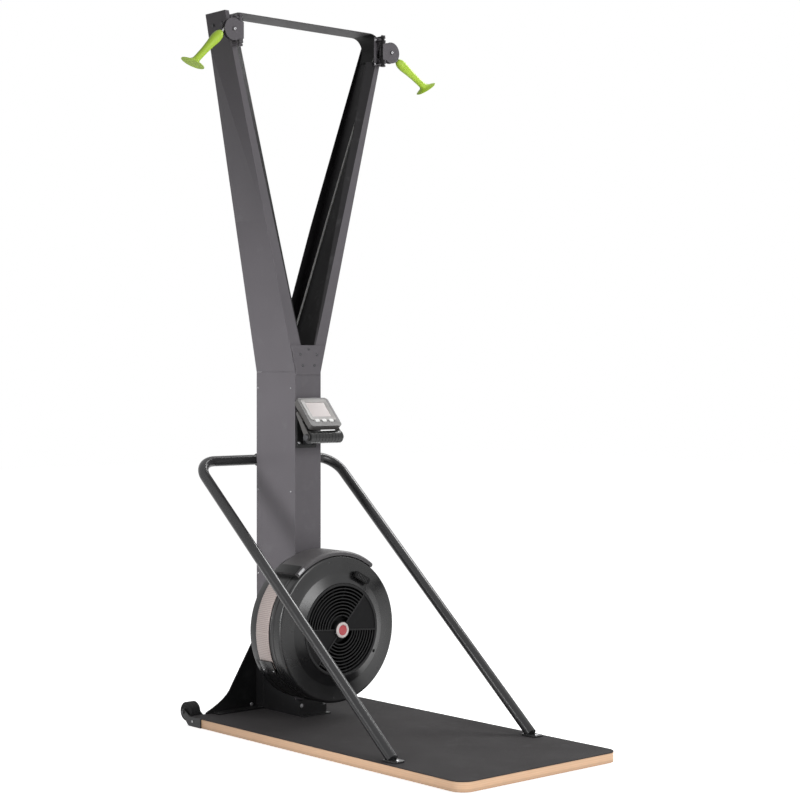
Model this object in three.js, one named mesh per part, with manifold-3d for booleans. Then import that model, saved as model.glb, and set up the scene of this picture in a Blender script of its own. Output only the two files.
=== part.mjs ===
// A standing ski trainer: a folded steel post with two spreading arms on a plywood base board.
// Two swivelling pulley heads carry the pull handles, whose cords run down the arms to an air fan.
// Millimetres, +X to the user's right, +Y to the back, +Z up, origin on the floor at the board's middle.
import * as THREE from "three";
import { mergeVertices } from "three/addons/utils/BufferGeometryUtils.js";
import Module from "manifold-3d";

const wasm = await Module();
wasm.setup();

// Driving dimensions: clearances and counts
const fitGap = 0.3;
const runGap = 0.6;
const overrun = 4;
const lap = 1;
const sheet = 3;
const roundSides = 36;
const smallSides = 12;

// Base board, its mat and the strips under it
const boardWidth = 600;
const boardLength = 1200;
const boardThickness = 26.2;
const boardCornerRadius = 42;
const matThickness = 2.2;
const stripThickness = 3;
const stripWidth = 40;
const stripInset = 30;
const stripEndInset = 45;

// Post
const postWidth = 100;
const postDepth = 195;
const postTop = 1078;
const coverThickness = 2;
const coverFlange = 16;

// Arms
const armTop = 2148;
const armReach = 314;
const armTopDepth = 98;
const armFlangeBottom = 43;
const armFlangeTop = 15;
const armInnerReach = 45;
const armLipAngle = THREE.MathUtils.degToRad(28);
const armLipDrop = 90;
const armRearFlangeMiddle = 32;
const armRearFlangeTop = 7;
const armMiddleShare = 0.43;
const armTongue = 96;
const armTongueInset = 4;

// Yoke plate over the foot of the arms
const yokeTop = 1160;
const yokeInset = 3;
const yokeFootDrop = 12;

// Strap between the arm tops
const bridgeBend = 44;
const bridgeLegDrop = 82;

// Swivel heads
const pinInset = 35;
const pinProud = 29;
const pinRadius = 5;
const pinTopDrop = 17;
const pinFootDrop = 102;
const pinHeadRadius = 8;
const pinHeadHeight = 5;
const lugThickness = 5;
const lugUpperDrop = 29;
const lugLowerDrop = 98;
const lugRadius = 9;
const headPlate = 4;
const headPlateWidth = 32;
const pulleyReach = 28;
const pulleyDrop = 61;
const pulleyGroove = 18;
const pulleyRim = 22;
const pulleyWidth = 10;
const cheekRadius = 33;
const cheekThickness = 3;
const headWindow = 26;
const sleeveRadius = 8.5;
const sleeveGap = 34;
const headBoltRadius = 4;
const headBoltHead = 6.5;

// Handles
const gripLength = 144;
const gripRadius = 15.5;
const gripNeckRadius = 10.5;
const gripProfileShares = [
  [0.05, 0.71],
  [0.075, 0.87],
  [0.13, 0.97],
  [0.19, 1],
  [0.27, 0.95],
  [0.42, 0.8],
  [0.6, 0.7],
];
const gripNoseShare = 0.5;
const gripNeckStart = 120;
const gripFlare = 5;
const gripFlareLength = 8;
const flangeProfileShares = [
  [0.4, -0.5],
  [0.9, 0.2],
  [1, 0.34],
  [1, 0.5],
];
const flangeLong = 40;
const flangeShort = 27;
const flangeThickness = 10;
const flangeTilt = THREE.MathUtils.degToRad(24);
const flangeSink = 3;
const gripLeft = {
  noseOut: 40,
  noseDrop: 12,
  drop: THREE.MathUtils.degToRad(45.5),
  cordLift: THREE.MathUtils.degToRad(45),
};
const gripRight = {
  noseOut: 31,
  noseDrop: 21,
  drop: THREE.MathUtils.degToRad(31.5),
  cordLift: THREE.MathUtils.degToRad(10),
};

// Drive cords and the rollers they run on
const cordRadius = 3;
const rollerGroove = 10;
const rollerRim = 13;
const rollerWidth = 9;
const rollerInset = 15.5;
const rollerDrop = 63;
const rollerAxle = 3;
const rollerPlay = 2;
const neckRollerX = 25;
const neckRollerDrop = 38;
const neckRollerGroove = 12;
const neckRollerRim = 16;
const cordStart = 17;
const cordFrontInset = 19;
const cordRearInset = 40;
const bungeeDrop = 100;
const bungeeBend = 14;
const pegRadius = 5;
const drumRadius = 20;
const drumRim = 28;
const drumWidth = 22;

// Fan, all of it about one axis across the post's front
const fanZ = 304;
const fanRadius = 221;
const fanDepth = 145.2;
const shroudDepth = 41.5;
const backDepth = 32.7;
const shellWall = 3;
const annulusWidth = 52;
const coneWidth = 31;
const grilleProud = 16.5;
const grilleBar = 4;
const grilleDepth = 5;
const grilleSlack = 2;
const grilleRim = 6;
const grilleLedge = 10;
const grilleStep = 3;
const ringFirst = 42;
const ringPitch = 10;
const ringWidth = 4;
const spokeAnglesDeg = [48, 176, 228, 356];
const hubSeatRadius = 26;
const hubCapRadius = 23.5;
const hubCapProud = 7;
const hubCapBevel = 3;
const hubCapDepth = 4.7;
const hubDepth = 27;
const panelThickness = 2.5;
const shroudEdge = 9;
const shroudEdgeShare = 0.35;
const shroudLip = 1;
const topCoverRise = 15;
const topCoverStartDeg = 53;
const topCoverEndDeg = 132;
const topCoverSetback = 2.5;
const bandStartDeg = -26;
const bandEndDeg = 38;
const bandThickness = 2;
const bandInset = 10;
const bandLapDeg = 2;
const bandClamp = 5;
const shaftRadius = 8;
const shaftSetback = 7;
const bearingRadius = 17;
const bearingWidth = 10;
const bossWall = 5;
const bossFloor = 10;
const bladeCount = 16;
const bladeClear = 25;
const bladeInner = 92;
const bladeRing = 16;
const impellerWeb = 4;
const impellerHubWall = 8;
const bladeThickness = 3;
const impellerSetback = 22.5;
const impellerDepth = 102;
const damperSetback = 6;
const damperThickness = 2.5;
const damperRim = 4;
const damperInner = 40;
const damperLap = 2;
const damperEdgeDeg = 1;
const damperTravelDeg = 50;
const leverDeg = 61;
const leverOut = 3;
const slotLapDeg = 4;
const stemHalfDeg = 3;
const leverWidth = 62;
const leverHeight = 20;
const leverThickness = 9;
const leverStem = 3;
const leverClear = 2;

// Hand rail
const railRadius = 16;
const railZ = 803;
const railInset = 30;
const railBend = 70;
const railFootInset = 35;
const railFootSetback = 308;
const railTabLength = 56;
const railTabWidth = 40;
const railTabThickness = 5;
const strapHalf = 38;
const strapEar = 18;

// Transport wheels
const wheelRadius = 29;
const wheelWidth = 39;
const wheelInset = 3.5;
const wheelBack = 34;
const wheelZ = 41;
const wheelEdge = 5;
const wheelAxle = 6;
const wheelLugWall = 4;
const wheelPlate = 4;
const wheelPlateLength = 57;

// Flared gussets and the foot bracket
const gussetHeight = 268;
const gussetInset = 54;
const gussetWaistX = 151;
const gussetWaistZ = 106;
const gussetThickness = 4;
const gussetFoot = 42;
const gussetPullShare = 0.16;
const footBootFront = 24;
const footBootClear = 3.7;
const footBootHigh = 160;
const footBootLean = 26;
const footBootToe = 22;

// Monitor
const monitorWidth = 120;
const monitorHeight = 114;
const monitorThickness = 18;
const monitorTopSetback = 17;
const monitorTopDrop = 79;
const monitorTilt = THREE.MathUtils.degToRad(47.5);
const screenWidth = 72;
const screenHeight = 56;
const screenDrop = 20;
const buttonCount = 3;
const buttonWidth = 17;
const buttonHeight = 11;
const buttonPitch = 27;
const buttonDrop = 92;
const buttonTravel = 1.2;
const buttonLength = 6;
const buttonProud = 1.6;
const monitorCorner = 11;
const screenThickness = 2;
const yokeArmRadius = 11;
const pivotRadius = 5;
const knobRadius = 10;
const knobDepth = 8;
const cradleX = 18;
const batteryRadius = 19;
const batteryLength = 124;
const batteryProud = 78;
const batteryDrop = 197;
const mountPlateDrop = 101;
const mountPlateLength = 131;
const cradleTopShare = 0.9;
const cradleLipShare = 0.6;
const cradleFootShare = 1.4;
const mountPlateLeft = 45;
const mountPlateRight = 30;
const mountPlateThickness = 3;

// Finishes
const finish = (color, roughness, metalness) =>
  new THREE.MeshStandardMaterial({ color, roughness, metalness });
const graphite = finish(0x55555a, 0.55, 0.4);
const blackSteel = finish(0x17171a, 0.45, 0.4);
const blackPlastic = finish(0x232425, 0.45, 0);
const rubber = finish(0x161617, 0.85, 0);
const matRubber = finish(0x3a3a3d, 0.9, 0);
const birch = finish(0xdcb98c, 0.6, 0);
const bandGrey = finish(0x9a8f8d, 0.5, 0.5);
const lime = finish(0xa9d43a, 0.5, 0);
const steel = finish(0xb9bbbd, 0.35, 0.9);
const cordGrey = finish(0xcfcfcf, 0.7, 0);
const caseGrey = finish(0x6b6d70, 0.5, 0.1);
const glassGrey = finish(0xc9c5c3, 0.25, 0);
const keyWhite = finish(0xe6e6e4, 0.5, 0);
const hubRed = finish(0xb8434a, 0.4, 0);

// Turns a closed three.js geometry into a solid.
function solid(geometry, matrix) {
  const bare = geometry.index ? geometry.toNonIndexed() : geometry.clone();
  bare.deleteAttribute("normal");
  bare.deleteAttribute("uv");
  if (matrix) bare.applyMatrix4(matrix);
  const merged = mergeVertices(bare, 1e-4);
  const all = merged.index.array;
  const kept = [];
  for (let i = 0; i < all.length; i += 3) {
    const [a, b, c] = [all[i], all[i + 1], all[i + 2]];
    if (a !== b && b !== c && c !== a) kept.push(a, b, c);
  }
  const mesh = { numProp: 3 };
  mesh.vertProperties = merged.attributes.position.array;
  mesh.triVerts = new Uint32Array(kept);
  return new wasm.Manifold(new wasm.Mesh(mesh));
}

// Joins a list of solids into one.
const join = (first, ...rest) => rest.reduce((sum, next) => sum.add(next), first);

// Cuts each of the later solids out of the first.
const cut = (first, ...rest) => rest.reduce((sum, next) => sum.subtract(next), first);

const shift = (x, y, z) => new THREE.Matrix4().makeTranslation(x, y, z);
const turnX = (angle) => new THREE.Matrix4().makeRotationX(angle);
const turnY = (angle) => new THREE.Matrix4().makeRotationY(angle);
const turnZ = (angle) => new THREE.Matrix4().makeRotationZ(angle);

// A block between two corners.
function block(x0, x1, y0, y1, z0, z1) {
  const geometry = new THREE.BoxGeometry(x1 - x0, y1 - y0, z1 - z0);
  return solid(geometry, shift((x0 + x1) / 2, (y0 + y1) / 2, (z0 + z1) / 2));
}

// A round bar along Z between two heights.
function bar(x, y, z0, z1, radius, sides = smallSides) {
  const geometry = new THREE.CylinderGeometry(radius, radius, z1 - z0, sides);
  return solid(geometry, shift(x, y, (z0 + z1) / 2).multiply(turnX(Math.PI / 2)));
}

// A round bar along Y between two depths.
function barY(x, z, y0, y1, radius, sides = smallSides) {
  const geometry = new THREE.CylinderGeometry(radius, radius, y1 - y0, sides);
  return solid(geometry, shift(x, (y0 + y1) / 2, z));
}

// A round bar along X between two sides.
function barX(y, z, x0, x1, radius, sides = smallSides) {
  const geometry = new THREE.CylinderGeometry(radius, radius, x1 - x0, sides);
  return solid(geometry, shift((x0 + x1) / 2, y, z).multiply(turnZ(Math.PI / 2)));
}

// A plate whose outline is drawn in X and Z, between two depths in Y.
function plateY(shape, y0, y1, curveSteps = 3) {
  const options = { depth: y1 - y0, bevelEnabled: false, curveSegments: curveSteps };
  const geometry = new THREE.ExtrudeGeometry(shape, options);
  return solid(geometry, shift(0, y1, 0).multiply(turnX(Math.PI / 2)));
}

// A plate whose outline is drawn in X and Y, between two heights in Z.
function plateZ(shape, z0, z1, curveSteps = 3) {
  const options = { depth: z1 - z0, bevelEnabled: false, curveSegments: curveSteps };
  return solid(new THREE.ExtrudeGeometry(shape, options), shift(0, 0, z0));
}

// A plate whose outline is drawn in Y and Z, between two sides in X.
function plateX(shape, x0, x1, curveSteps = 3) {
  const options = { depth: x1 - x0, bevelEnabled: false, curveSegments: curveSteps };
  const axes = new THREE.Matrix4().set(0, 0, 1, x0, 1, 0, 0, 0, 0, 1, 0, 0, 0, 0, 0, 1);
  return solid(new THREE.ExtrudeGeometry(shape, options), axes);
}

// An outline through points.
function outline(points) {
  return new THREE.Shape(points.map(([a, b]) => new THREE.Vector2(a, b)));
}

// A rectangle with round corners, about a middle.
function roundRect(midA, midB, width, height, radius) {
  const shape = new THREE.Shape();
  const left = midA - width / 2;
  const right = midA + width / 2;
  const low = midB - height / 2;
  const high = midB + height / 2;
  shape.moveTo(left + radius, low);
  shape.lineTo(right - radius, low);
  shape.absarc(right - radius, low + radius, radius, -Math.PI / 2, 0, false);
  shape.lineTo(right, high - radius);
  shape.absarc(right - radius, high - radius, radius, 0, Math.PI / 2, false);
  shape.lineTo(left + radius, high);
  shape.absarc(left + radius, high - radius, radius, Math.PI / 2, Math.PI, false);
  shape.lineTo(left, low + radius);
  shape.absarc(left + radius, low + radius, radius, Math.PI, Math.PI * 1.5, false);
  return shape;
}

// A turned piece about an axis along Y through (x, z): points are [radius, y].
function turnedY(points, x = 0, z = fanZ, sides = roundSides) {
  const profile = points.map(([radius, y]) => new THREE.Vector2(radius, y));
  profile.push(profile[0].clone());
  return outward(solid(new THREE.LatheGeometry(profile, sides), shift(x, 0, z)));
}

// Turns a solid's faces to point out where its profile ran the other way round.
function outward(body) {
  if (body.volume() > 0) return body;
  const mesh = body.getMesh();
  const flipped = new Uint32Array(mesh.triVerts.length);
  for (let i = 0; i < flipped.length; i += 3) {
    flipped[i] = mesh.triVerts[i];
    flipped[i + 1] = mesh.triVerts[i + 2];
    flipped[i + 2] = mesh.triVerts[i + 1];
  }
  const data = { numProp: 3, vertProperties: mesh.vertProperties, triVerts: flipped };
  return new wasm.Manifold(new wasm.Mesh(data));
}

// A sector of the ring between two radii, drawn in X and Z about the fan's axis.
function ringSector(inner, outer, startDeg, endDeg) {
  const start = THREE.MathUtils.degToRad(startDeg);
  const end = THREE.MathUtils.degToRad(endDeg);
  const shape = new THREE.Shape();
  shape.absarc(0, fanZ, outer, start, end, false);
  shape.absarc(0, fanZ, inner, end, start, true);
  return shape;
}

// A path through points that is sampled at those points only, with mitred directions.
class Route extends THREE.Curve {
  constructor(points) {
    super();
    this.points = points;
  }

  getUtoTmapping(u) {
    return u;
  }

  getPoint(t) {
    const place = t * (this.points.length - 1);
    const index = Math.min(Math.floor(place), this.points.length - 2);
    return this.points[index].clone().lerp(this.points[index + 1], place - index);
  }

  getTangent(t) {
    const index = Math.round(t * (this.points.length - 1));
    const here = this.points[index];
    const before = this.points[Math.max(index - 1, 0)];
    const after = this.points[Math.min(index + 1, this.points.length - 1)];
    const inward = here.clone().sub(before).normalize();
    const onward = after.clone().sub(here).normalize();
    return inward.add(onward).normalize();
  }
}

// A round bar along a list of points.
function tube(points, radius, sides) {
  const section = new THREE.Shape();
  section.absarc(0, 0, radius, 0, Math.PI * 2, false);
  const options = { steps: points.length - 1, extrudePath: new Route(points) };
  options.curveSegments = sides / 2;
  return outward(solid(new THREE.ExtrudeGeometry(section, options)));
}

// The corner points of a path with a round bend at each inner corner.
function rounded(points, bend, steps) {
  const places = [points[0]];
  for (let i = 1; i < points.length - 1; i += 1) {
    const back = points[i - 1].clone().sub(points[i]).normalize();
    const ahead = points[i + 1].clone().sub(points[i]).normalize();
    const half = back.angleTo(ahead) / 2;
    const start = points[i].clone().addScaledVector(back, bend / Math.tan(half));
    const middle = back.clone().add(ahead).normalize();
    const centre = points[i].clone().addScaledVector(middle, bend / Math.sin(half));
    const arm = start.clone().sub(centre);
    for (let step = 0; step <= steps; step += 1) {
      const turn = ((Math.PI - 2 * half) * step) / steps;
      const place = centre.clone().addScaledVector(arm, Math.cos(turn));
      places.push(place.addScaledVector(back, -bend * Math.sin(turn)));
    }
  }
  places.push(points[points.length - 1]);
  return places;
}

// Stacks sections of equal point count, each a closed ring of [x, y, z], into one solid.
function loft(sections) {
  const count = sections[0].length;
  const places = sections.flat(2);
  const faces = [];
  for (let level = 0; level < sections.length - 1; level += 1) {
    for (let i = 0; i < count; i += 1) {
      const a = level * count + i;
      const b = level * count + ((i + 1) % count);
      faces.push(a, b, b + count, a, b + count, a + count);
    }
  }
  const flat = sections[0].map(([x, y]) => new THREE.Vector2(x, y));
  const last = (sections.length - 1) * count;
  for (const [a, b, c] of THREE.ShapeUtils.triangulateShape(flat, [])) {
    faces.push(a, c, b);
    faces.push(last + a, last + b, last + c);
  }
  const geometry = new THREE.BufferGeometry();
  geometry.setAttribute("position", new THREE.Float32BufferAttribute(places, 3));
  geometry.setIndex(faces);
  return outward(solid(geometry));
}

// Everything is hung in one group, a named mesh for each piece.
const machine = new THREE.Group();
machine.name = "ski_trainer_machine";

function piece(name, body, material, side = 1) {
  const mesh = body.getMesh();
  const geometry = new THREE.BufferGeometry();
  geometry.setAttribute("position", new THREE.BufferAttribute(mesh.vertProperties, 3));
  geometry.setIndex(new THREE.BufferAttribute(mesh.triVerts, 1));
  geometry.computeVertexNormals();
  const made = new THREE.Mesh(geometry, material);
  made.name = name;
  made.scale.x = side;
  machine.add(made);
}

const at = (x, y, z) => new THREE.Vector3(x, y, z);
const sides = [
  { name: "left", sign: -1 },
  { name: "right", sign: 1 },
];

// Heights and depths that follow from the sizes above
const boardFoot = stripThickness + fitGap;
const boardTop = boardFoot + boardThickness;
const matFoot = boardTop + fitGap;
const deckTop = matFoot + matThickness;
const deckRest = deckTop + fitGap;
const postHalf = postWidth / 2;
const postRearY = boardLength / 2;
const postFrontY = postRearY - postDepth;
const postInner = postHalf - sheet;
const armHeight = armTop - postTop;
const armLipTop = armTop - armLipDrop;
const armOuterX = (z) => postHalf + ((armReach - postHalf) * (z - postTop)) / armHeight;
const armRearY = (z) => postRearY - ((postDepth - armTopDepth) * (z - postTop)) / armHeight;
const bridgeLegFoot = armTop - bridgeLegDrop;

// Head, handle and cord places
const pinX = armReach - pinInset;
const pinY = postFrontY - pinProud;
const pinTop = armTop - pinTopDrop;
const pinFoot = armTop - pinFootDrop;
const lugUpper = armTop - lugUpperDrop;
const lugLower = armTop - lugLowerDrop;
const pulleyX = pinX + pulleyReach;
const pulleyZ = armTop - pulleyDrop;
const rollerZ = armTop - rollerDrop;
const rollerX = armOuterX(rollerZ) - rollerInset;
const rollerY = postFrontY;
const neckRollerZ = postTop - neckRollerDrop;
const cordFrontY = postFrontY + cordFrontInset;
const cordRearY = postRearY - cordRearInset;
const bungeeTop = neckRollerZ - bungeeDrop;

// Fan depths and radii
const fanRearY = postFrontY - fitGap;
const fanFrontY = fanRearY - fanDepth;
const shroudSideY = fanFrontY + shroudDepth;
const cageRearY = fanRearY - backDepth;
const annulusInner = fanRadius - annulusWidth;
const grilleRadius = annulusInner - coneWidth;
const grilleY = fanFrontY - grilleProud;
const coneSlope = (grilleProud - shroudLip) / (coneWidth - grilleSlack);
const hubCapY = grilleY - hubCapProud;
const hubRearY = hubCapY + hubCapDepth + fitGap + hubDepth;
const shaftFrontY = grilleY + shaftSetback;
const bearingRearY = postRearY - coverThickness - bossFloor;
const shaftRearY = bearingRearY;
const topCoverRadius = fanRadius + topCoverRise;
const topCoverFrontY = fanFrontY + topCoverSetback;
const bladeOuter = fanRadius - bladeClear;
const impellerFrontY = fanFrontY + impellerSetback;
const impellerRearY = impellerFrontY + impellerDepth;
const damperY = fanFrontY + damperSetback;
const leverRadius = annulusInner + leverOut;
const damperOuter = leverRadius + damperRim;

// Rail, wheel and monitor places
const railHalf = boardWidth / 2 - railInset;
const railFootX = boardWidth / 2 - railFootInset;
const railFootY = railFootSetback - boardLength / 2;
const wheelX = boardWidth / 2 - wheelInset - wheelWidth / 2;
const wheelY = boardLength / 2 + wheelBack;
const wheelBore = wheelAxle + runGap;
const monitorTopY = postFrontY - monitorTopSetback;
const monitorTopZ = postTop - monitorTopDrop;
const batteryY = postFrontY - batteryProud;
const batteryZ = postTop - batteryDrop;
const mountPlateTop = postTop - mountPlateDrop;
const mountPlateFoot = mountPlateTop - mountPlateLength;

// Base board with its mat and strips
function boardOutline() {
  const half = boardWidth / 2;
  const front = -boardLength / 2;
  const rear = boardLength / 2;
  const shape = new THREE.Shape();
  shape.moveTo(half, rear);
  shape.lineTo(-half, rear);
  shape.lineTo(-half, front + boardCornerRadius);
  const cornerX = half - boardCornerRadius;
  const cornerY = front + boardCornerRadius;
  shape.absarc(-cornerX, cornerY, boardCornerRadius, Math.PI, Math.PI * 1.5, false);
  shape.absarc(cornerX, cornerY, boardCornerRadius, -Math.PI / 2, 0, false);
  return shape;
}

function makeBase() {
  piece("base_board", plateZ(boardOutline(), boardFoot, boardTop, 5), birch);
  piece("grip_mat", plateZ(boardOutline(), matFoot, deckTop, 5), matRubber);
  const stripHalf = boardWidth / 2 - stripInset;
  const endY = boardLength / 2 - stripEndInset - stripWidth / 2;
  const rows = [
    ["foot_strip_front", -endY],
    ["foot_strip_middle", 0],
    ["foot_strip_rear", endY],
  ];
  for (const [name, y] of rows) {
    const strip = block(-stripHalf, stripHalf, y - stripWidth / 2, y + stripWidth / 2, 0, stripThickness);
    piece(name, strip, rubber);
  }
}

// A wheel on its bracket at each rear corner of the board
function makeWheels() {
  const boardHalf = boardWidth / 2;
  const rear = boardLength / 2;
  const plateInner = boardHalf + fitGap;
  const plateOuter = plateInner + wheelPlate;
  const lugRound = wheelAxle + wheelLugWall;
  const sidePlate = new THREE.Shape();
  sidePlate.moveTo(rear - wheelPlateLength, boardFoot);
  sidePlate.lineTo(rear + wheelAxle, boardFoot);
  sidePlate.lineTo(wheelY + lugRound * Math.SQRT1_2, wheelZ - lugRound * Math.SQRT1_2);
  sidePlate.absarc(wheelY, wheelZ, lugRound, -Math.PI / 4, Math.PI * 0.6, false);
  sidePlate.lineTo(rear, deckTop);
  sidePlate.lineTo(rear - wheelPlateLength, deckTop);
  const innerX = wheelX - wheelWidth / 2 - runGap;
  const innerPlate = new THREE.Shape();
  innerPlate.moveTo(rear + fitGap, boardFoot);
  innerPlate.lineTo(wheelY + lugRound * Math.SQRT1_2, wheelZ - lugRound * Math.SQRT1_2);
  innerPlate.absarc(wheelY, wheelZ, lugRound, -Math.PI / 4, Math.PI * 0.6, false);
  innerPlate.lineTo(rear + fitGap, deckTop);
  const backX = innerX - wheelPlate * 3;
  const back = block(backX, plateOuter, rear + fitGap, rear + fitGap + sheet, boardFoot, deckTop);
  const bracket = join(
    plateX(sidePlate, plateInner, plateOuter),
    plateX(innerPlate, innerX - wheelPlate, innerX),
    back,
    barX(wheelY, wheelZ, innerX - wheelPlate / 2, plateOuter + wheelPlate / 2, wheelAxle),
  );
  const tread = wheelRadius - wheelEdge;
  const half = wheelWidth / 2;
  const rim = [
    [wheelBore, -half],
    [tread, -half],
    [wheelRadius, -half + wheelEdge],
    [wheelRadius, half - wheelEdge],
    [tread, half],
    [wheelBore, half],
  ];
  const turned = rim.map(([radius, y]) => new THREE.Vector2(radius, y));
  turned.push(turned[0].clone());
  const lathe = new THREE.LatheGeometry(turned, 28);
  const wheel = outward(solid(lathe, shift(wheelX, wheelY, wheelZ).multiply(turnZ(Math.PI / 2))));
  for (const { name, sign } of sides) {
    piece(`wheel_bracket_${name}`, bracket, blackSteel, sign);
    piece(`wheel_${name}`, wheel, rubber, sign);
  }
}

// Folded post, open to the back, with studs for what runs inside it
function makePost() {
  const half = postHalf;
  const inner = postInner;
  const wall = postFrontY + sheet;
  const section = outline([
    [half, postRearY],
    [inner, postRearY],
    [inner, wall],
    [-inner, wall],
    [-inner, postRearY],
    [-half, postRearY],
    [-half, postFrontY],
    [half, postFrontY],
  ]);
  const shaftHole = barY(0, fanZ, postFrontY - overrun, wall + overrun, shaftRadius + overrun);
  const stud = barY(-neckRollerX, neckRollerZ, wall - lap, cordFrontY + rollerWidth, rollerAxle);
  const pegZ = bungeeTop - cordRadius - fitGap - pegRadius;
  const peg = barX((cordFrontY + cordRearY) / 2, pegZ, -inner - lap, inner + lap, pegRadius);
  const channel = cut(plateZ(section, deckRest, postTop), shaftHole);
  piece("post_channel", join(channel, stud, peg), graphite);

  const coverHalf = inner - fitGap;
  const coverInner = postRearY - coverThickness;
  const panel = outline([
    [coverHalf, postRearY],
    [-coverHalf, postRearY],
    [-coverHalf, coverInner - coverFlange],
    [coverThickness - coverHalf, coverInner - coverFlange],
    [coverThickness - coverHalf, coverInner],
    [coverHalf - coverThickness, coverInner],
    [coverHalf - coverThickness, coverInner - coverFlange],
    [coverHalf, coverInner - coverFlange],
  ]);
  const bossFrontY = coverInner - bearingWidth - bossFloor;
  const boss = barY(0, fanZ, bossFrontY, coverInner + lap, bearingRadius + bossWall, 24);
  const pocket = barY(0, fanZ, bossFrontY - overrun, bearingRearY + fitGap, bearingRadius + fitGap, 32);
  const rearStud = barY(neckRollerX, neckRollerZ, cordRearY - rollerWidth, coverInner + lap, rollerAxle);
  const cover = join(plateZ(panel, deckRest, postTop), boss, rearStud);
  piece("post_rear_cover", cut(cover, pocket), graphite);
}

// Arm cross-section at a height: a leaning channel, open inwards, with a folded front lip
function armSection(z, withLip) {
  const share = (z - postTop) / armHeight;
  const outer = armOuterX(z);
  const rear = armRearY(z);
  const front = postFrontY;
  const flange = armFlangeBottom + (armFlangeTop - armFlangeBottom) * share;
  const lowShare = Math.min(share / armMiddleShare, 1);
  const highShare = Math.max((share - armMiddleShare) / (1 - armMiddleShare), 0);
  const rearBottom = armFlangeBottom - armTongueInset;
  const middle = armRearFlangeMiddle;
  const lowPart = rearBottom + (middle - rearBottom) * lowShare;
  const rearFlange = lowPart + (armRearFlangeTop - middle) * highShare;
  const ring = [
    [outer, front],
    [outer, rear],
    [outer - rearFlange, rear],
    [outer - rearFlange, rear - sheet],
    [outer - sheet, rear - sheet],
    [outer - sheet, front + sheet],
    [outer - flange, front + sheet],
  ];
  if (withLip) {
    const reach = armInnerReach - flange;
    const fold = reach * Math.tan(armLipAngle);
    ring.push([outer - armInnerReach, front + sheet + fold]);
    ring.push([outer - armInnerReach, front + fold]);
  }
  ring.push([outer - flange, front]);
  return ring.map(([x, y]) => [x, y, z]);
}

function makeArms() {
  const foot = postTop + fitGap;
  const middle = postTop + armHeight * armMiddleShare;
  const lower = loft([foot, middle, armLipTop].map((z) => armSection(z, true)));
  const upper = loft([armLipTop - lap, armTop].map((z) => armSection(z, false)));
  const tongueOuter = postInner - fitGap;
  const tongueInner = tongueOuter - sheet;
  const tongueFront = postFrontY + sheet + armTongueInset;
  const tongueRear = postRearY - coverThickness - coverFlange - armTongueInset;
  const joggle = foot + sheet * 2;
  const tongue = join(
    block(tongueInner, tongueOuter, tongueFront, tongueRear, postTop - armTongue, joggle),
    block(tongueInner, postHalf - fitGap, tongueFront, tongueRear, foot, joggle),
  );
  const notchLow = pulleyZ - headWindow;
  const notchHigh = pulleyZ + headWindow;
  const notchShape = outline([
    [0, notchLow],
    [armOuterX(notchLow) - sheet - lap, notchLow],
    [armOuterX(notchHigh) - sheet - lap, notchHigh],
    [0, notchHigh],
  ]);
  const notch = plateY(notchShape, postFrontY - overrun, postFrontY + sheet + fitGap);
  const arm = cut(join(lower, upper, tongue), notch);
  for (const { name, sign } of sides) piece(`arm_${name}`, arm, graphite, sign);
}

// Five-rivet plate over the foot of the arms
function makeYoke() {
  const low = postTop + fitGap + yokeInset - yokeFootDrop;
  const lowHalf = armOuterX(postTop) - yokeInset;
  const highHalf = armOuterX(yokeTop) - yokeInset;
  const shape = outline([
    [-lowHalf, low],
    [lowHalf, low],
    [lowHalf, postTop],
    [highHalf, yokeTop],
    [-highHalf, yokeTop],
    [-lowHalf, postTop],
  ]);
  piece("yoke_plate", plateY(shape, postFrontY - fitGap - sheet, postFrontY - fitGap), graphite);
}

// Wide strap that joins the arm tops and runs down inside them
function makeBridge() {
  const lean = Math.atan2(armReach - postHalf, armHeight);
  const seat = (z) => armOuterX(z) - sheet / Math.cos(lean) - fitGap;
  const cornerX = seat(armTop);
  const half = (Math.PI / 2 - lean) / 2;
  const reach = bridgeBend / Math.tan(half);
  const centreX = cornerX - reach;
  const centreZ = armTop - bridgeBend;
  const inside = bridgeBend - sheet;
  const thickX = sheet / Math.cos(lean);
  const shape = new THREE.Shape();
  shape.moveTo(seat(bridgeLegFoot), bridgeLegFoot);
  shape.absarc(centreX, centreZ, bridgeBend, -lean, Math.PI / 2, false);
  shape.absarc(-centreX, centreZ, bridgeBend, Math.PI / 2, Math.PI + lean, false);
  shape.lineTo(-seat(bridgeLegFoot), bridgeLegFoot);
  shape.lineTo(thickX - seat(bridgeLegFoot), bridgeLegFoot);
  shape.absarc(-centreX, centreZ, inside, Math.PI + lean, Math.PI / 2, true);
  shape.absarc(centreX, centreZ, inside, Math.PI / 2, -lean, true);
  shape.lineTo(seat(bridgeLegFoot) - thickX, bridgeLegFoot);
  const front = postFrontY + sheet + fitGap;
  const rear = armRearY(armTop) - sheet - fitGap;
  piece("top_bridge", plateY(shape, front, rear, 4), blackSteel);
}

// Clear distances of a cord's middle from the middle of a drum or roller
const cordRun = drumRadius + cordRadius + fitGap;
const neckReach = neckRollerGroove + cordRadius + fitGap;
const rollerRun = rollerGroove + cordRadius + fitGap;

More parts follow.
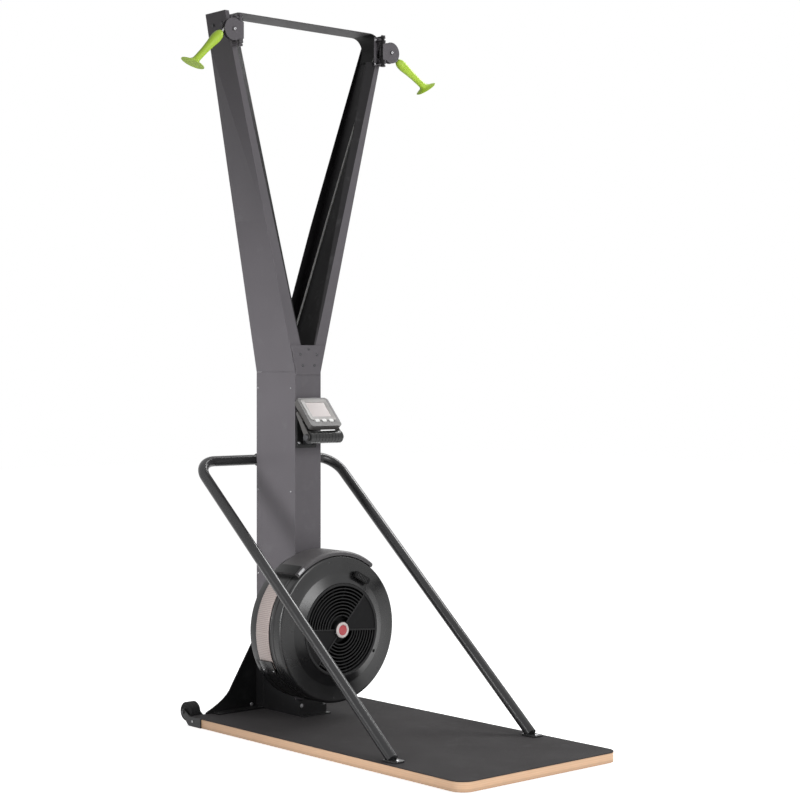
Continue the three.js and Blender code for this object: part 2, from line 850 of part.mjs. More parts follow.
// The arm roller leans with the cord that leaves it for the neck, where the cord bends about the roller
const neckSpan = Math.hypot(rollerX - neckRollerX, rollerZ - neckRollerZ);
const neckSight = Math.atan2(rollerX - neckRollerX, rollerZ - neckRollerZ);
const cordLean = neckSight + Math.asin(neckReach / neckSpan);
const dropLean = Math.atan2(cordRun + neckReach - neckRollerX, neckRollerZ - fanZ);
const neckCorner = neckReach / Math.cos((cordLean + dropLean) / 2);
const neckRun = neckRollerX - neckCorner * Math.cos((cordLean - dropLean) / 2);
const neckZ = neckRollerZ + neckCorner * Math.sin((cordLean - dropLean) / 2);
const rollerFrame = shift(rollerX, rollerY, rollerZ).multiply(turnY(cordLean));

// Fixed bracket with the swivel pin, in front of each arm top
function makeHeadBrackets() {
  const plateRear = postFrontY - fitGap;
  const plateFront = plateRear - headPlate;
  const plateLow = lugLower - headBoltRadius;
  const plateHigh = pinTop + lugThickness;
  const plateInnerX = pinX - headPlateWidth / 2;
  const plateOuterX = pinX + headPlateWidth / 2;
  const plate = block(plateInnerX, plateOuterX, plateFront, plateRear, plateLow, plateHigh);
  const lug = (z) =>
    join(
      block(pinX - lugRadius, pinX + lugRadius, pinY, plateRear - lap, z, z + lugThickness),
      bar(pinX, pinY, z, z + lugThickness, lugRadius),
    );
  const pin = join(
    bar(pinX, pinY, pinFoot, pinTop, pinRadius),
    bar(pinX, pinY, pinFoot - pinHeadHeight, pinFoot + lap, pinHeadRadius, 6),
    bar(pinX, pinY, pinTop - lap, pinTop + pinHeadHeight, pinHeadRadius),
  );
  const half = rollerWidth / 2 + runGap;
  const reach = rollerRim + runGap * 2;
  const windowCut = placed(block(
    -half, half, plateFront - overrun - rollerY, plateRear + overrun - rollerY,
    -reach, rollerRun + cordRadius + runGap,
  ), rollerFrame);
  const earInner = -half - headPlate;
  const earSize = rollerAxle * 2;
  const ear = placed(join(
    block(earInner, -half, plateFront - rollerY, earSize, -earSize, earSize),
    barX(0, 0, earInner + lap, rollerWidth / 2, rollerAxle),
  ), rollerFrame);
  const bracket = join(cut(plate, windowCut), lug(lugLower), lug(lugUpper), pin, ear);
  for (const { name, sign } of sides) piece(`head_bracket_${name}`, bracket, graphite, sign);
}

// A grooved wheel about an axis along Y, whose cord has some play between the rims
function sheave(x, y, z, groove, rim, width, bore, turns = 20, play = 0) {
  const lip = width / 2 - cordRadius - fitGap - play;
  const points = [
    [bore, y - width / 2],
    [rim, y - width / 2],
    [rim, y - width / 2 + lip],
    [groove, y - width / 2 + lip],
    [groove, y + width / 2 - lip],
    [rim, y + width / 2 - lip],
    [rim, y + width / 2],
    [bore, y + width / 2],
  ];
  return turnedY(points, x, z, turns);
}

// Swivel head: two cheeks on split sleeves, with the axle of its pulley
function makeHeads() {
  const inner = pulleyWidth / 2 + runGap;
  const outer = inner + cheekThickness;
  const cheek = (y0) => {
    const inset = cheekRadius - sleeveRadius;
    const round = barY(pulleyX, pulleyZ, y0, y0 + cheekThickness, cheekRadius, 28);
    const near = pinX - sleeveRadius + lap;
    return join(round, block(near, pulleyX, y0, y0 + cheekThickness, pulleyZ - inset, pulleyZ + inset));
  };
  const sleeve = (z0, z1) => bar(pinX, pinY, z0, z1, sleeveRadius);
  const frontFace = pinY - outer;
  const body = join(
    cheek(frontFace),
    cheek(pinY + inner),
    sleeve(lugLower + lugThickness + runGap, pulleyZ - sleeveGap / 2),
    sleeve(pulleyZ + sleeveGap / 2, lugUpper - runGap),
    barY(pulleyX, pulleyZ, frontFace - lap, pinY + outer + lap, headBoltRadius),
    barY(pulleyX, pulleyZ, frontFace - sheet, frontFace + lap, headBoltHead, 6),
    barY(pulleyX, pulleyZ, pinY + outer - lap, pinY + outer + sheet, headBoltHead, 6),
  );
  const bore = bar(pinX, pinY, pinFoot - overrun, pinTop + overrun, pinRadius + fitGap);
  const head = cut(body, bore);
  const boltBore = headBoltRadius + fitGap;
  const pulley = sheave(pulleyX, pinY, pulleyZ, pulleyGroove, pulleyRim, pulleyWidth, boltBore);
  for (const { name, sign } of sides) {
    piece(`swivel_head_${name}`, head, graphite, sign);
    piece(`head_pulley_${name}`, pulley, blackPlastic, sign);
  }
}

// Pull handle: a tapered grip that ends in a tilted oval flange
function makeHandle(grip) {
  const shared = gripProfileShares.map(([along, wide]) => [gripRadius * wide, gripLength * along]);
  const profile = [
    [0, 0],
    [gripRadius * gripNoseShare, 0],
    ...shared,
    [gripNeckRadius, gripNeckStart],
    [gripNeckRadius, gripLength - gripFlareLength],
    [gripNeckRadius + gripFlare, gripLength],
    [0, gripLength],
  ].map(([radius, y]) => new THREE.Vector2(radius, y));
  const body = outward(solid(new THREE.LatheGeometry(profile, 16), turnZ(-Math.PI / 2)));
  const edge = flangeProfileShares.map(([out, along]) => new THREE.Vector2(out, along));
  const [foot, ...others] = [new THREE.Vector2(0, edge[0].y), ...edge, new THREE.Vector2(0, edge[3].y)];
  const disc = new THREE.LatheGeometry([foot, ...others], 24);
  const tilted = shift(gripLength - flangeSink, 0, 0)
    .multiply(turnY(flangeTilt))
    .multiply(turnZ(-Math.PI / 2))
    .multiply(new THREE.Matrix4().makeScale(flangeShort, flangeThickness, flangeLong));
  const flange = outward(solid(disc, tilted));
  const place = shift(pulleyX + grip.noseOut, pinY, pulleyZ - grip.noseDrop).multiply(turnY(grip.drop));
  return placed(join(body, flange), place);
}

// A solid moved by a matrix
function placed(body, matrix) {
  const mesh = body.getMesh();
  const geometry = new THREE.BufferGeometry();
  geometry.setAttribute("position", new THREE.BufferAttribute(mesh.vertProperties, 3));
  geometry.setIndex(new THREE.BufferAttribute(mesh.triVerts, 1));
  return solid(geometry, matrix);
}

function makeHandles() {
  const grips = [gripLeft, gripRight];
  sides.forEach(({ name, sign }, i) => {
    const grip = grips[i];
    piece(`handle_${name}`, makeHandle(grip), lime, sign);
    const run = pulleyGroove + cordRadius + fitGap;
    const lift = grip.cordLift;
    const start = at(pulleyX + run * Math.cos(lift), pinY, pulleyZ + run * Math.sin(lift));
    const nose = at(pulleyX + grip.noseOut, pinY, pulleyZ - grip.noseDrop);
    const along = at(Math.cos(grip.drop), 0, -Math.sin(grip.drop));
    const end = nose.addScaledVector(along, -fitGap);
    const bend = end.clone().addScaledVector(along, -cordRadius);
    piece(`handle_cord_${name}`, tube([start, bend, end], cordRadius, 8), cordGrey, sign);
  });
}

// Cords from the heads, over the arm rollers and the neck rollers, down to the drums
function makeDriveCords() {
  const depths = [cordFrontY, cordRearY];
  sides.forEach(({ name, sign }, i) => {
    const y = depths[i];
    const topX = rollerX + rollerRun * Math.sin(cordLean);
    const topZ = rollerZ + rollerRun * Math.cos(cordLean);
    const slope = Math.atan2(y - rollerY - rollerRun, rollerZ - neckZ);
    const backY = rollerY + rollerRun / Math.tan(Math.PI / 4 + slope / 2);
    const corner = rounded([
      at(topX, rollerY - cordStart, topZ),
      at(topX, backY, topZ),
      at(neckRun, y, neckZ),
    ], rollerRun, 5);
    corner.pop();
    const neck = rounded([
      corner[corner.length - 1],
      at(neckRun, y, neckZ),
      at(cordRun, y, fanZ),
    ], neckReach, 3);
    piece(`drive_cord_${name}`, tube([...corner, ...neck.slice(1)], cordRadius, 8), cordGrey, sign);

    const bore = rollerAxle + fitGap;
    const roller = sheave(0, 0, 0, rollerGroove, rollerRim, rollerWidth, bore, 16);
    const place = rollerFrame.clone().multiply(turnZ(Math.PI / 2));
    piece(`arm_roller_${name}`, placed(roller, place), blackPlastic, sign);
    const neckWidth = rollerWidth + rollerPlay * 2;
    const neckRoller = sheave(
      neckRollerX, y, neckRollerZ, neckRollerGroove, neckRollerRim, neckWidth, bore, 16, rollerPlay,
    );
    piece(`neck_roller_${name}`, neckRoller, blackPlastic, sign);

    const drumBore = shaftRadius + fitGap;
    const drum = turnedY([
      [drumBore, y - drumWidth / 2],
      [drumRim, y - drumWidth / 2],
      [drumRim, y - drumWidth / 2 + sheet],
      [drumRadius, y - drumWidth / 2 + sheet],
      [drumRadius, y + drumWidth / 2 - sheet],
      [drumRim, y + drumWidth / 2 - sheet],
      [drumRim, y + drumWidth / 2],
      [drumBore, y + drumWidth / 2],
    ], 0, fanZ, 24);
    piece(`cord_drum_${name}`, drum, blackPlastic);
  });
  const bungee = rounded([
    at(cordRun, cordFrontY, fanZ),
    at(cordRun, cordFrontY, bungeeTop),
    at(-cordRun, cordRearY, bungeeTop),
    at(-cordRun, cordRearY, fanZ),
  ], bungeeBend, 5);
  piece("return_bungee", tube(bungee, cordRadius, 8), rubber);
}

// Fan shells, their grille and what turns inside
function makeFanShells() {
  const rim = fanRadius - shellWall;
  const back = turnedY([
    [bearingRadius + fitGap, fanRearY],
    [bearingRadius + fitGap, fanRearY - shellWall],
    [rim, fanRearY - shellWall],
    [rim, cageRearY + fitGap],
    [fanRadius, cageRearY + fitGap],
    [fanRadius, fanRearY],
  ]);
  piece("fan_back_shell", back, blackPlastic);

  const frontEdge = shroudSideY + fitGap;
  const wall = turnedY([[rim, cageRearY], [rim, frontEdge], [fanRadius, frontEdge], [fanRadius, cageRearY]]);
  const opening = (start, end) => {
    const shape = ringSector(rim - overrun, fanRadius + overrun, start, end);
    return plateY(shape, frontEdge + bandInset + shellWall, cageRearY - shellWall * 2, 4);
  };
  const ring = cut(
    wall,
    opening(bandStartDeg, bandEndDeg),
    opening(180 - bandEndDeg, 180 - bandStartDeg),
  );
  piece("fan_middle_shell", ring, blackPlastic);

  const bandInner = fanRadius + fitGap * 3;
  const bandOuter = bandInner + bandThickness;
  const bandFront = frontEdge + bandInset;
  const bandRear = cageRearY - fitGap;
  const lap = bandLapDeg;
  const band = join(
    plateY(ringSector(bandInner, bandOuter, bandStartDeg - lap, bandEndDeg + lap), bandFront, bandRear, 5),
    plateY(
      ringSector(bandInner, bandOuter + bandClamp, bandStartDeg - lap * 3, bandStartDeg - lap * 0.9),
      bandFront, bandRear, 1,
    ),
  );
  for (const { name, sign } of sides) piece(`cage_band_${name}`, band, bandGrey, sign);

  const under = fanRadius + fitGap * 2;
  const coverInner = topCoverRadius - shellWall;
  const coverWall = THREE.MathUtils.radToDeg(shellWall / topCoverRadius);
  const arc = (inner, outer, y0, y1) =>
    plateY(ringSector(inner, outer, topCoverStartDeg, topCoverEndDeg), y0, y1, 6);
  const endPlate = (start) =>
    plateY(ringSector(under, topCoverRadius, start, start + coverWall), topCoverFrontY, cageRearY, 1);
  const cover = join(
    arc(coverInner, topCoverRadius, topCoverFrontY, cageRearY),
    arc(under, topCoverRadius, topCoverFrontY, topCoverFrontY + shellWall),
    arc(under, topCoverRadius, cageRearY - shellWall, cageRearY),
    endPlate(topCoverStartDeg),
    endPlate(topCoverEndDeg - coverWall),
  );
  piece("fan_top_cover", cover, blackPlastic);

  const edge = shroudEdge;
  const lipInner = grilleRadius + grilleSlack;
  const shroud = turnedY([
    [fanRadius, shroudSideY],
    [fanRadius, fanFrontY + edge],
    [fanRadius - edge * shroudEdgeShare, fanFrontY + edge * shroudEdgeShare],
    [fanRadius - edge, fanFrontY],
    [annulusInner, fanFrontY],
    [lipInner, grilleY + shroudLip],
    [lipInner, grilleY + shroudLip + shellWall],
    [annulusInner - shroudLip, fanFrontY + shellWall],
    [rim - edge, fanFrontY + shellWall],
    [rim, fanFrontY + shellWall + edge],
    [rim, shroudSideY],
  ], 0, fanZ, 48);
  const slotHalf = leverStem / 2 + runGap;
  const slotEnd = leverDeg + damperTravelDeg + slotLapDeg;
  const slot = plateY(
    ringSector(leverRadius - slotHalf, leverRadius + slotHalf, leverDeg - slotLapDeg, slotEnd),
    fanFrontY - overrun, fanFrontY + shellWall + overrun, 4,
  );
  piece("front_shroud", cut(shroud, slot), blackPlastic);
}

function makeGrille() {
  const rimInner = grilleRadius - grilleRim;
  const rimOuter = grilleRadius + grilleSlack - fitGap;
  const rear = grilleY + grilleDepth;
  const ledge = grilleRadius + grilleLedge;
  const ledgeFront = rear + coneSlope * grilleLedge;
  const ledgeRear = ledgeFront + grilleStep;
  const rim = turnedY([
    [rimInner, grilleY],
    [rimOuter, grilleY],
    [rimOuter, rear],
    [ledge, ledgeFront],
    [ledge, ledgeRear],
    [rimInner, ledgeRear],
  ], 0, fanZ, 40);
  const [upperStart, upperEnd, lowerStart, lowerEnd] = spokeAnglesDeg;
  const parts = [];
  const ringCount = Math.floor((rimInner - ringFirst) / ringPitch);
  for (let i = 0; i < ringCount; i += 1) {
    const inner = ringFirst + i * ringPitch;
    for (const [start, end] of [[upperStart, upperEnd], [lowerStart, lowerEnd]]) {
      const arc = ringSector(inner, inner + ringWidth, start, end);
      parts.push(plateY(arc, grilleY + lap, rear, 5));
    }
  }
  const panelInner = hubSeatRadius - lap;
  for (const [start, end] of [[upperEnd, lowerStart], [lowerEnd - 360, upperStart]]) {
    const panel = ringSector(panelInner, rimInner + lap, start, end);
    parts.push(plateY(panel, rear - panelThickness, rear, 3));
  }
  for (const angle of spokeAnglesDeg) {
    const spoke = new THREE.BoxGeometry(rimInner - panelInner + lap * 2, grilleDepth, grilleBar);
    const turn = turnY(-THREE.MathUtils.degToRad(angle));
    const place = shift(0, grilleY + grilleDepth / 2, fanZ)
      .multiply(turn)
      .multiply(shift((rimInner + panelInner) / 2, 0, 0));
    parts.push(solid(spoke, place));
  }
  const hubFront = hubCapY + hubCapDepth + fitGap;
  const hub = turnedY([
    [0, hubFront],
    [hubSeatRadius, hubFront],
    [hubSeatRadius, hubRearY],
    [bearingRadius + fitGap, hubRearY],
    [bearingRadius + fitGap, shaftFrontY - fitGap],
    [0, shaftFrontY - fitGap],
  ], 0, fanZ, 28);
  piece("fan_grille", join(rim, hub, ...parts), blackPlastic);

  const capRear = hubCapY + hubCapDepth;
  const cap = turnedY([
    [0, hubCapY],
    [hubCapRadius - hubCapBevel, hubCapY],
    [hubCapRadius, hubCapY + hubCapBevel],
    [hubCapRadius, capRear],
    [0, capRear],
  ], 0, fanZ, 28);
  piece("hub_cap", cap, hubRed);
}

// Damper disc behind the grille, with its lever through the slot in the shroud
function makeDamper() {
  const front = damperY;
  const rear = damperY + damperThickness;
  const hole = hubSeatRadius + fitGap;
  const window = grilleRadius - grilleRim;
  const disc = (inner, outer) =>
    turnedY([[inner, front], [outer, front], [outer, rear], [inner, rear]], 0, fanZ, 36);
  const [upperStart, upperEnd, lowerStart, lowerEnd] = spokeAnglesDeg;
  const blade = (start, end) =>
    plateY(
      ringSector(damperInner - damperLap, window + damperLap, start + damperEdgeDeg, end - damperEdgeDeg),
      front, rear, 3,
    );
  const padOverCone = Math.max(leverHeight / 2 - leverOut, 0);
  const padRear = fanFrontY - coneSlope * padOverCone - leverClear;
  const pad = plateY(
    roundRect(0, fanZ + leverRadius, leverWidth, leverHeight, leverHeight / 3),
    padRear - leverThickness, padRear, 2,
  );
  const turn = shift(0, 0, fanZ)
    .multiply(turnY(-THREE.MathUtils.degToRad(leverDeg - 90)))
    .multiply(shift(0, 0, -fanZ));
  const stemHalf = leverStem / 2;
  const stemArc = ringSector(
    leverRadius - stemHalf, leverRadius + stemHalf, leverDeg - stemHalfDeg, leverDeg + stemHalfDeg,
  );
  const stem = plateY(stemArc, padRear - lap, front + lap, 1);
  const damper = join(
    disc(hole, damperInner),
    disc(window, damperOuter),
    blade(upperEnd, lowerStart),
    blade(lowerEnd - 360, upperStart),
    stem,
    placed(pad, turn),
  );
  piece("damper", damper, blackPlastic);
}

// Impeller, shaft and bearings
function makeImpeller() {
  const bore = shaftRadius + fitGap;
  const web = impellerRearY - impellerWeb;
  const hubRadius = bearingRadius + impellerHubWall;
  const hubFront = (impellerFrontY + impellerRearY) / 2;
  const disc = turnedY([
    [bore, hubFront],
    [hubRadius, hubFront],
    [hubRadius, web],
    [bladeOuter, web],
    [bladeOuter, impellerRearY],
    [bore, impellerRearY],
  ]);
  const rimInner = bladeOuter - bladeRing;
  const ring = turnedY([
    [rimInner, impellerFrontY],
    [bladeOuter, impellerFrontY],
    [bladeOuter, impellerFrontY + impellerWeb],
    [rimInner, impellerFrontY + impellerWeb],
  ]);
  const depth = impellerDepth - lap * 2;
  const blade = new THREE.BoxGeometry(bladeOuter - lap - bladeInner, depth, bladeThickness);
  const blades = [];
  for (let i = 0; i < bladeCount; i += 1) {
    const place = shift(0, impellerFrontY + lap + depth / 2, fanZ)
      .multiply(turnY((i * Math.PI * 2) / bladeCount))
      .multiply(shift((bladeOuter + bladeInner) / 2, 0, 0));
    blades.push(solid(blade, place));
  }
  piece("impeller", join(disc, ring, ...blades), blackPlastic);
  piece("fan_shaft", barY(0, fanZ, shaftFrontY, shaftRearY, shaftRadius, 24), steel);
  const bearing = (front) =>
    turnedY([
      [bore, front],
      [bearingRadius, front],
      [bearingRadius, front + bearingWidth],
      [bore, front + bearingWidth],
    ], 0, fanZ, 32);
  piece("bearing_front", bearing(shaftFrontY), steel);
  piece("bearing_rear", bearing(bearingRearY - bearingWidth), steel);
}

// Hand rail, bent in one length, and the strap that holds it on the post
function makeRail() {
  const railY = postRearY + fitGap * 2 + railRadius;
  const footZ = deckRest + railTabThickness;
  const below = at(railFootX, railFootY, footZ);
  const top = at(railHalf, railY, railZ);
  const along = top.clone().sub(below).normalize();
  const buried = below.clone().addScaledVector(along, -railRadius * 2);
  const half = [buried, top];
  const other = half.map((p) => at(-p.x, p.y, p.z)).reverse();
  const path = rounded([...half, ...other], railBend, 6);
  const tabRear = railFootY + railRadius * 1.5;
  const tabMiddle = tabRear - railTabLength / 2;
  const tab = (sign) =>
    plateZ(
      roundRect(sign * railFootX, tabMiddle, railTabWidth, railTabLength, railTabWidth / 4),
      deckRest, footZ, 3,
    );
  const under = block(
    -boardWidth, boardWidth, railFootY - boardWidth, railFootY + boardWidth, -boardWidth, footZ - lap,
  );
  const rail = join(cut(tube(path, railRadius, 16), under), tab(1), tab(-1));
  piece("handrail", rail, blackSteel);

  const strapRadius = railRadius + fitGap + sheet;
  const ears = block(
    -strapHalf, strapHalf, postRearY + fitGap, postRearY + fitGap + sheet,
    railZ - strapRadius - strapEar, railZ + strapRadius + strapEar,
  );
  const sleeve = barX(railY, railZ, -strapHalf, strapHalf, strapRadius, 28);
  const front = block(
    -boardWidth, boardWidth, postFrontY, postRearY + fitGap, railZ - boardWidth, railZ + boardWidth,
  );
  const strap = cut(
    join(ears, sleeve),
    barX(railY, railZ, -strapHalf - lap, strapHalf + lap, railRadius + fitGap, 28),
    front,
  );
  piece("rail_strap", strap, blackSteel);
}

// Flared gussets beside the post's foot and the bracket in front of it
function makeFootBrackets() {
  const inner = postHalf + fitGap;
  const rear = postRearY - fitGap;
  const shape = new THREE.Shape();
  const gussetReach = boardWidth / 2 - gussetInset;
  shape.moveTo(inner, deckRest);
  shape.lineTo(gussetReach, deckRest);
  shape.lineTo(gussetReach, deckRest + gussetThickness);
  const pullX = gussetWaistX + (gussetReach - gussetWaistX) * gussetPullShare;
  const pullZ = gussetWaistZ - (gussetWaistZ - deckRest) * gussetPullShare * 3;
  shape.quadraticCurveTo(pullX, pullZ, gussetWaistX, gussetWaistZ);
  shape.lineTo(inner, gussetHeight);
  const web = plateY(shape, rear - gussetThickness, rear, 6);
  const foot = block(
    inner, gussetReach - gussetFoot / 2, rear - gussetFoot, rear, deckRest, deckRest + gussetThickness,
  );
  const flange = block(
    inner, inner + gussetThickness, rear - gussetFoot, rear, deckRest, gussetHeight - gussetThickness,
  );
  const gusset = join(web, foot, flange);
  for (const { name, sign } of sides) piece(`flare_gusset_${name}`, gusset, blackSteel, sign);

  const outer = inner + sheet;
  const front = postFrontY - footBootFront;
  const bootRear = rear - gussetFoot - fitGap;
  const low = fanZ - fanRadius - footBootClear;
  const high = deckRest + footBootHigh;
  const cheek = outline([
    [front, deckRest],
    [bootRear, deckRest],
    [bootRear, high],
    [postFrontY + footBootLean, high],
    [postFrontY + fitGap, low],
    [front, low],
  ]);
  const bracket = join(
    plateX(cheek, inner, outer),
    plateX(cheek, -outer, -inner),
    block(-outer, outer, front, front + sheet, deckRest, low),
    block(-outer, outer, front - footBootToe, front + sheet, deckRest, deckRest + sheet),
  );
  piece("foot_bracket", bracket, blackSteel);
}

// Monitor on its tilting yoke about the battery tube
const faceUp = at(0, Math.cos(monitorTilt), Math.sin(monitorTilt));
const faceOut = at(0, -Math.sin(monitorTilt), Math.cos(monitorTilt));
const faceFrame = new THREE.Matrix4()
  .makeBasis(at(1, 0, 0), faceUp, faceOut)
  .setPosition(0, monitorTopY, monitorTopZ);

// A plate on the monitor's own face: outline across and up from its top edge, depths from the face
function facePlate(shape, low, high, curveSteps = 2) {
  const options = { depth: high - low, bevelEnabled: false, curveSegments: curveSteps };
  const local = faceFrame.clone().multiply(shift(0, 0, low));
  return solid(new THREE.ExtrudeGeometry(shape, options), local);
}

function makeMonitor() {
  const middle = -monitorHeight / 2;
  const caseShape = roundRect(0, middle, monitorWidth, monitorHeight, monitorCorner);
  const screenMiddle = -screenDrop - screenHeight / 2;
  const recess = roundRect(0, screenMiddle, screenWidth + fitGap * 2, screenHeight + fitGap * 2, fitGap * 4);
  const buttonXs = [];
  for (let i = 0; i < buttonCount; i += 1) buttonXs.push((i - (buttonCount - 1) / 2) * buttonPitch);
  const buttonFoot = buttonProud - buttonLength;
  const pocketFloor = buttonFoot - buttonTravel - fitGap;
  const pockets = buttonXs.map((x) =>
    facePlate(
      roundRect(x, -buttonDrop, buttonWidth + runGap * 2, buttonHeight + runGap * 2, buttonHeight / 3),
      pocketFloor, overrun, 1,
    ),
  );
  const shell = cut(
    facePlate(caseShape, -monitorThickness, 0, 3),
    facePlate(recess, -screenThickness - fitGap, overrun),
    ...pockets,
  );
  piece("monitor_case", shell, caseGrey);
  const glass = roundRect(0, screenMiddle, screenWidth, screenHeight, fitGap * 3);
  piece("monitor_screen", facePlate(glass, -screenThickness, 0, 1), glassGrey);
  buttonXs.forEach((x, i) => {
    const shape = roundRect(x, -buttonDrop, buttonWidth, buttonHeight, buttonHeight / 3);
    piece(`monitor_button_${i + 1}`, facePlate(shape, buttonFoot, buttonProud, 1), keyWhite);
  });

  // Yoke: a plate behind the case and an arm at each end down to the pivot
  const armInnerX = batteryLength / 2 + runGap;
  const armOuterEdge = armInnerX + sheet;
  const backLow = -monitorThickness - fitGap - sheet;
  const backBar = facePlate(
    roundRect(0, middle, armOuterEdge * 2, monitorHeight / 3, sheet), backLow, -monitorThickness - fitGap,
  );
  const toFace = faceFrame.clone().invert();
  const pivot = at(0, batteryY, batteryZ).applyMatrix4(toFace);
  const arm = new THREE.Shape();
  arm.absarc(pivot.z, pivot.y, yokeArmRadius, Math.PI, Math.PI * 2, false);
  arm.lineTo(backLow + sheet, middle + monitorHeight / 6);
  arm.lineTo(backLow - yokeArmRadius / 2, middle + monitorHeight / 6);
  const sideways = new THREE.Matrix4().set(0, 0, 1, 0, 0, 1, 0, 0, 1, 0, 0, 0, 0, 0, 0, 1);
  const armPlate = (x) => {
    const options = { depth: sheet, bevelEnabled: false, curveSegments: 4 };
    const place = faceFrame.clone().multiply(shift(x, 0, 0)).multiply(sideways);
    return outward(solid(new THREE.ExtrudeGeometry(arm, options), place));
  };
  const pivotHole = barX(batteryY, batteryZ, -monitorWidth, monitorWidth, pivotRadius + fitGap);
  const yoke = cut(join(backBar, armPlate(armInnerX), armPlate(-armOuterEdge)), pivotHole);
  piece("monitor_yoke", yoke, caseGrey);

  const half = batteryLength / 2;
  const knobInner = armOuterEdge + runGap;
  const tubeBody = join(
    barX(batteryY, batteryZ, -half, half, batteryRadius, 24),
    barX(batteryY, batteryZ, -knobInner - lap, knobInner + lap, pivotRadius),
    barX(batteryY, batteryZ, -knobInner - knobDepth, -knobInner, knobRadius, 16),
    barX(batteryY, batteryZ, knobInner, knobInner + knobDepth / 2, knobRadius, 16),
  );
  piece("battery_tube", tubeBody, blackPlastic);

  const plateRear = postFrontY - fitGap;
  const plateFront = plateRear - mountPlateThickness;
  const plate = block(
    -mountPlateLeft, mountPlateRight, plateFront, plateRear, mountPlateFoot, mountPlateTop,
  );
  const reach = outline([
    [plateRear - lap, batteryZ + batteryRadius * cradleTopShare],
    [batteryY, batteryZ + batteryRadius * cradleLipShare],
    [batteryY, batteryZ - batteryRadius * cradleLipShare],
    [plateRear - lap, batteryZ - batteryRadius * cradleFootShare],
  ]);
  const bed = barX(batteryY, batteryZ, -monitorWidth, monitorWidth, batteryRadius + fitGap, 24);
  const clearFront = block(
    -monitorWidth, monitorWidth, batteryY - monitorWidth, batteryY,
    batteryZ - monitorWidth, batteryZ + monitorWidth,
  );
  const cradle = (x) => plateX(reach, x - sheet, x + sheet);
  const bracket = cut(join(plate, cradle(-cradleX), cradle(cradleX)), bed, clearFront);
  piece("monitor_bracket", bracket, blackSteel);
}

makeBase();
makeWheels();
makePost();
makeFootBrackets();
makeArms();
makeYoke();
makeBridge();
makeHeadBrackets();
makeHeads();
makeHandles();
makeDriveCords();
makeFanShells();
makeGrille();
makeDamper();
makeImpeller();
makeRail();
makeMonitor();

export default machine;
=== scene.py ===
"""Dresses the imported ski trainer: smooth housings, grips, cords, fasteners, finishes and the studio."""

import logging
import math
from collections.abc import Callable
from dataclasses import dataclass
from enum import Enum

import bmesh
import bpy
from mathutils import Matrix, Vector


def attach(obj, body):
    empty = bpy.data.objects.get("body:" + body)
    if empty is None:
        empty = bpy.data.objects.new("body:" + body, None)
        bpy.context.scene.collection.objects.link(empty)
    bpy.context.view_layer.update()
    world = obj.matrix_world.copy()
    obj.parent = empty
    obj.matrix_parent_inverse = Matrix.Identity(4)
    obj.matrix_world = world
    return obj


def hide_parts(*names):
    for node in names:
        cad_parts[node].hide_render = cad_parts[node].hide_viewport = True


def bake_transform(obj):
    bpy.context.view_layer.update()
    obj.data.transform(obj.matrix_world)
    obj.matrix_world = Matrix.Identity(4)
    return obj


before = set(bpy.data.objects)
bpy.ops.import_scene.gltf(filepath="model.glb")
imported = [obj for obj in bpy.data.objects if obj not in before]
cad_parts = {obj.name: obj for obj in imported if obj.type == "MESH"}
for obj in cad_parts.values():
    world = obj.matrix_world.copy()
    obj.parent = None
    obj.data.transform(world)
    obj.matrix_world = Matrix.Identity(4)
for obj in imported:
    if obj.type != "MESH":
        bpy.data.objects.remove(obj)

LOG = logging.getLogger("ski_trainer")
Color = tuple[float, float, float, float]
Place = tuple[float, float, float]
Points = list[tuple[float, ...]]
Node = bpy.types.Node
Piece = bpy.types.Object
Socket = bpy.types.NodeSocket
Tree = bpy.types.NodeTree
FRONT, REAR, UP = (0, -1, 0), (0, 1, 0), (0, 0, 1)
QUARTER = math.pi / 2
SHARP = 32.0  # degrees; edges over this stay sharp
WHITE: Color = (1.0, 1.0, 1.0, 1.0)
CORD_SHARE = 0.97  # share of a CAD cord's corner radius that its round section keeps


def linear(value: float) -> float:
    """Gives the linear light of one display value from 0 to 1."""
    return value / 12.92 if value <= 0.04045 else ((value + 0.055) / 1.055) ** 2.4


def display(red: int, green: int, blue: int) -> Color:
    """Gives a shader colour from display values from 0 to 255."""
    return (linear(red / 255), linear(green / 255), linear(blue / 255), 1.0)


def shade(color: Color, share: float) -> Color:
    """Gives a colour with its light multiplied by a share."""
    return tuple(min(c * share, 1.0) for c in color[:3]) + (1.0,)


class Side(Enum):
    """The two sides of the machine, with the sign of X on each."""

    LEFT = -1
    RIGHT = 1

    @property
    def label(self) -> str:
        """The word that node names use for the side."""
        return self.name.lower()

    @property
    def out(self) -> Place:
        """The direction away from the middle."""
        return (self.value, 0, 0)

    def at(self, x: float, y: float, z: float) -> Vector:
        """Gives a place of the right side, mirrored onto this one."""
        return Vector((x * self.value, y, z))


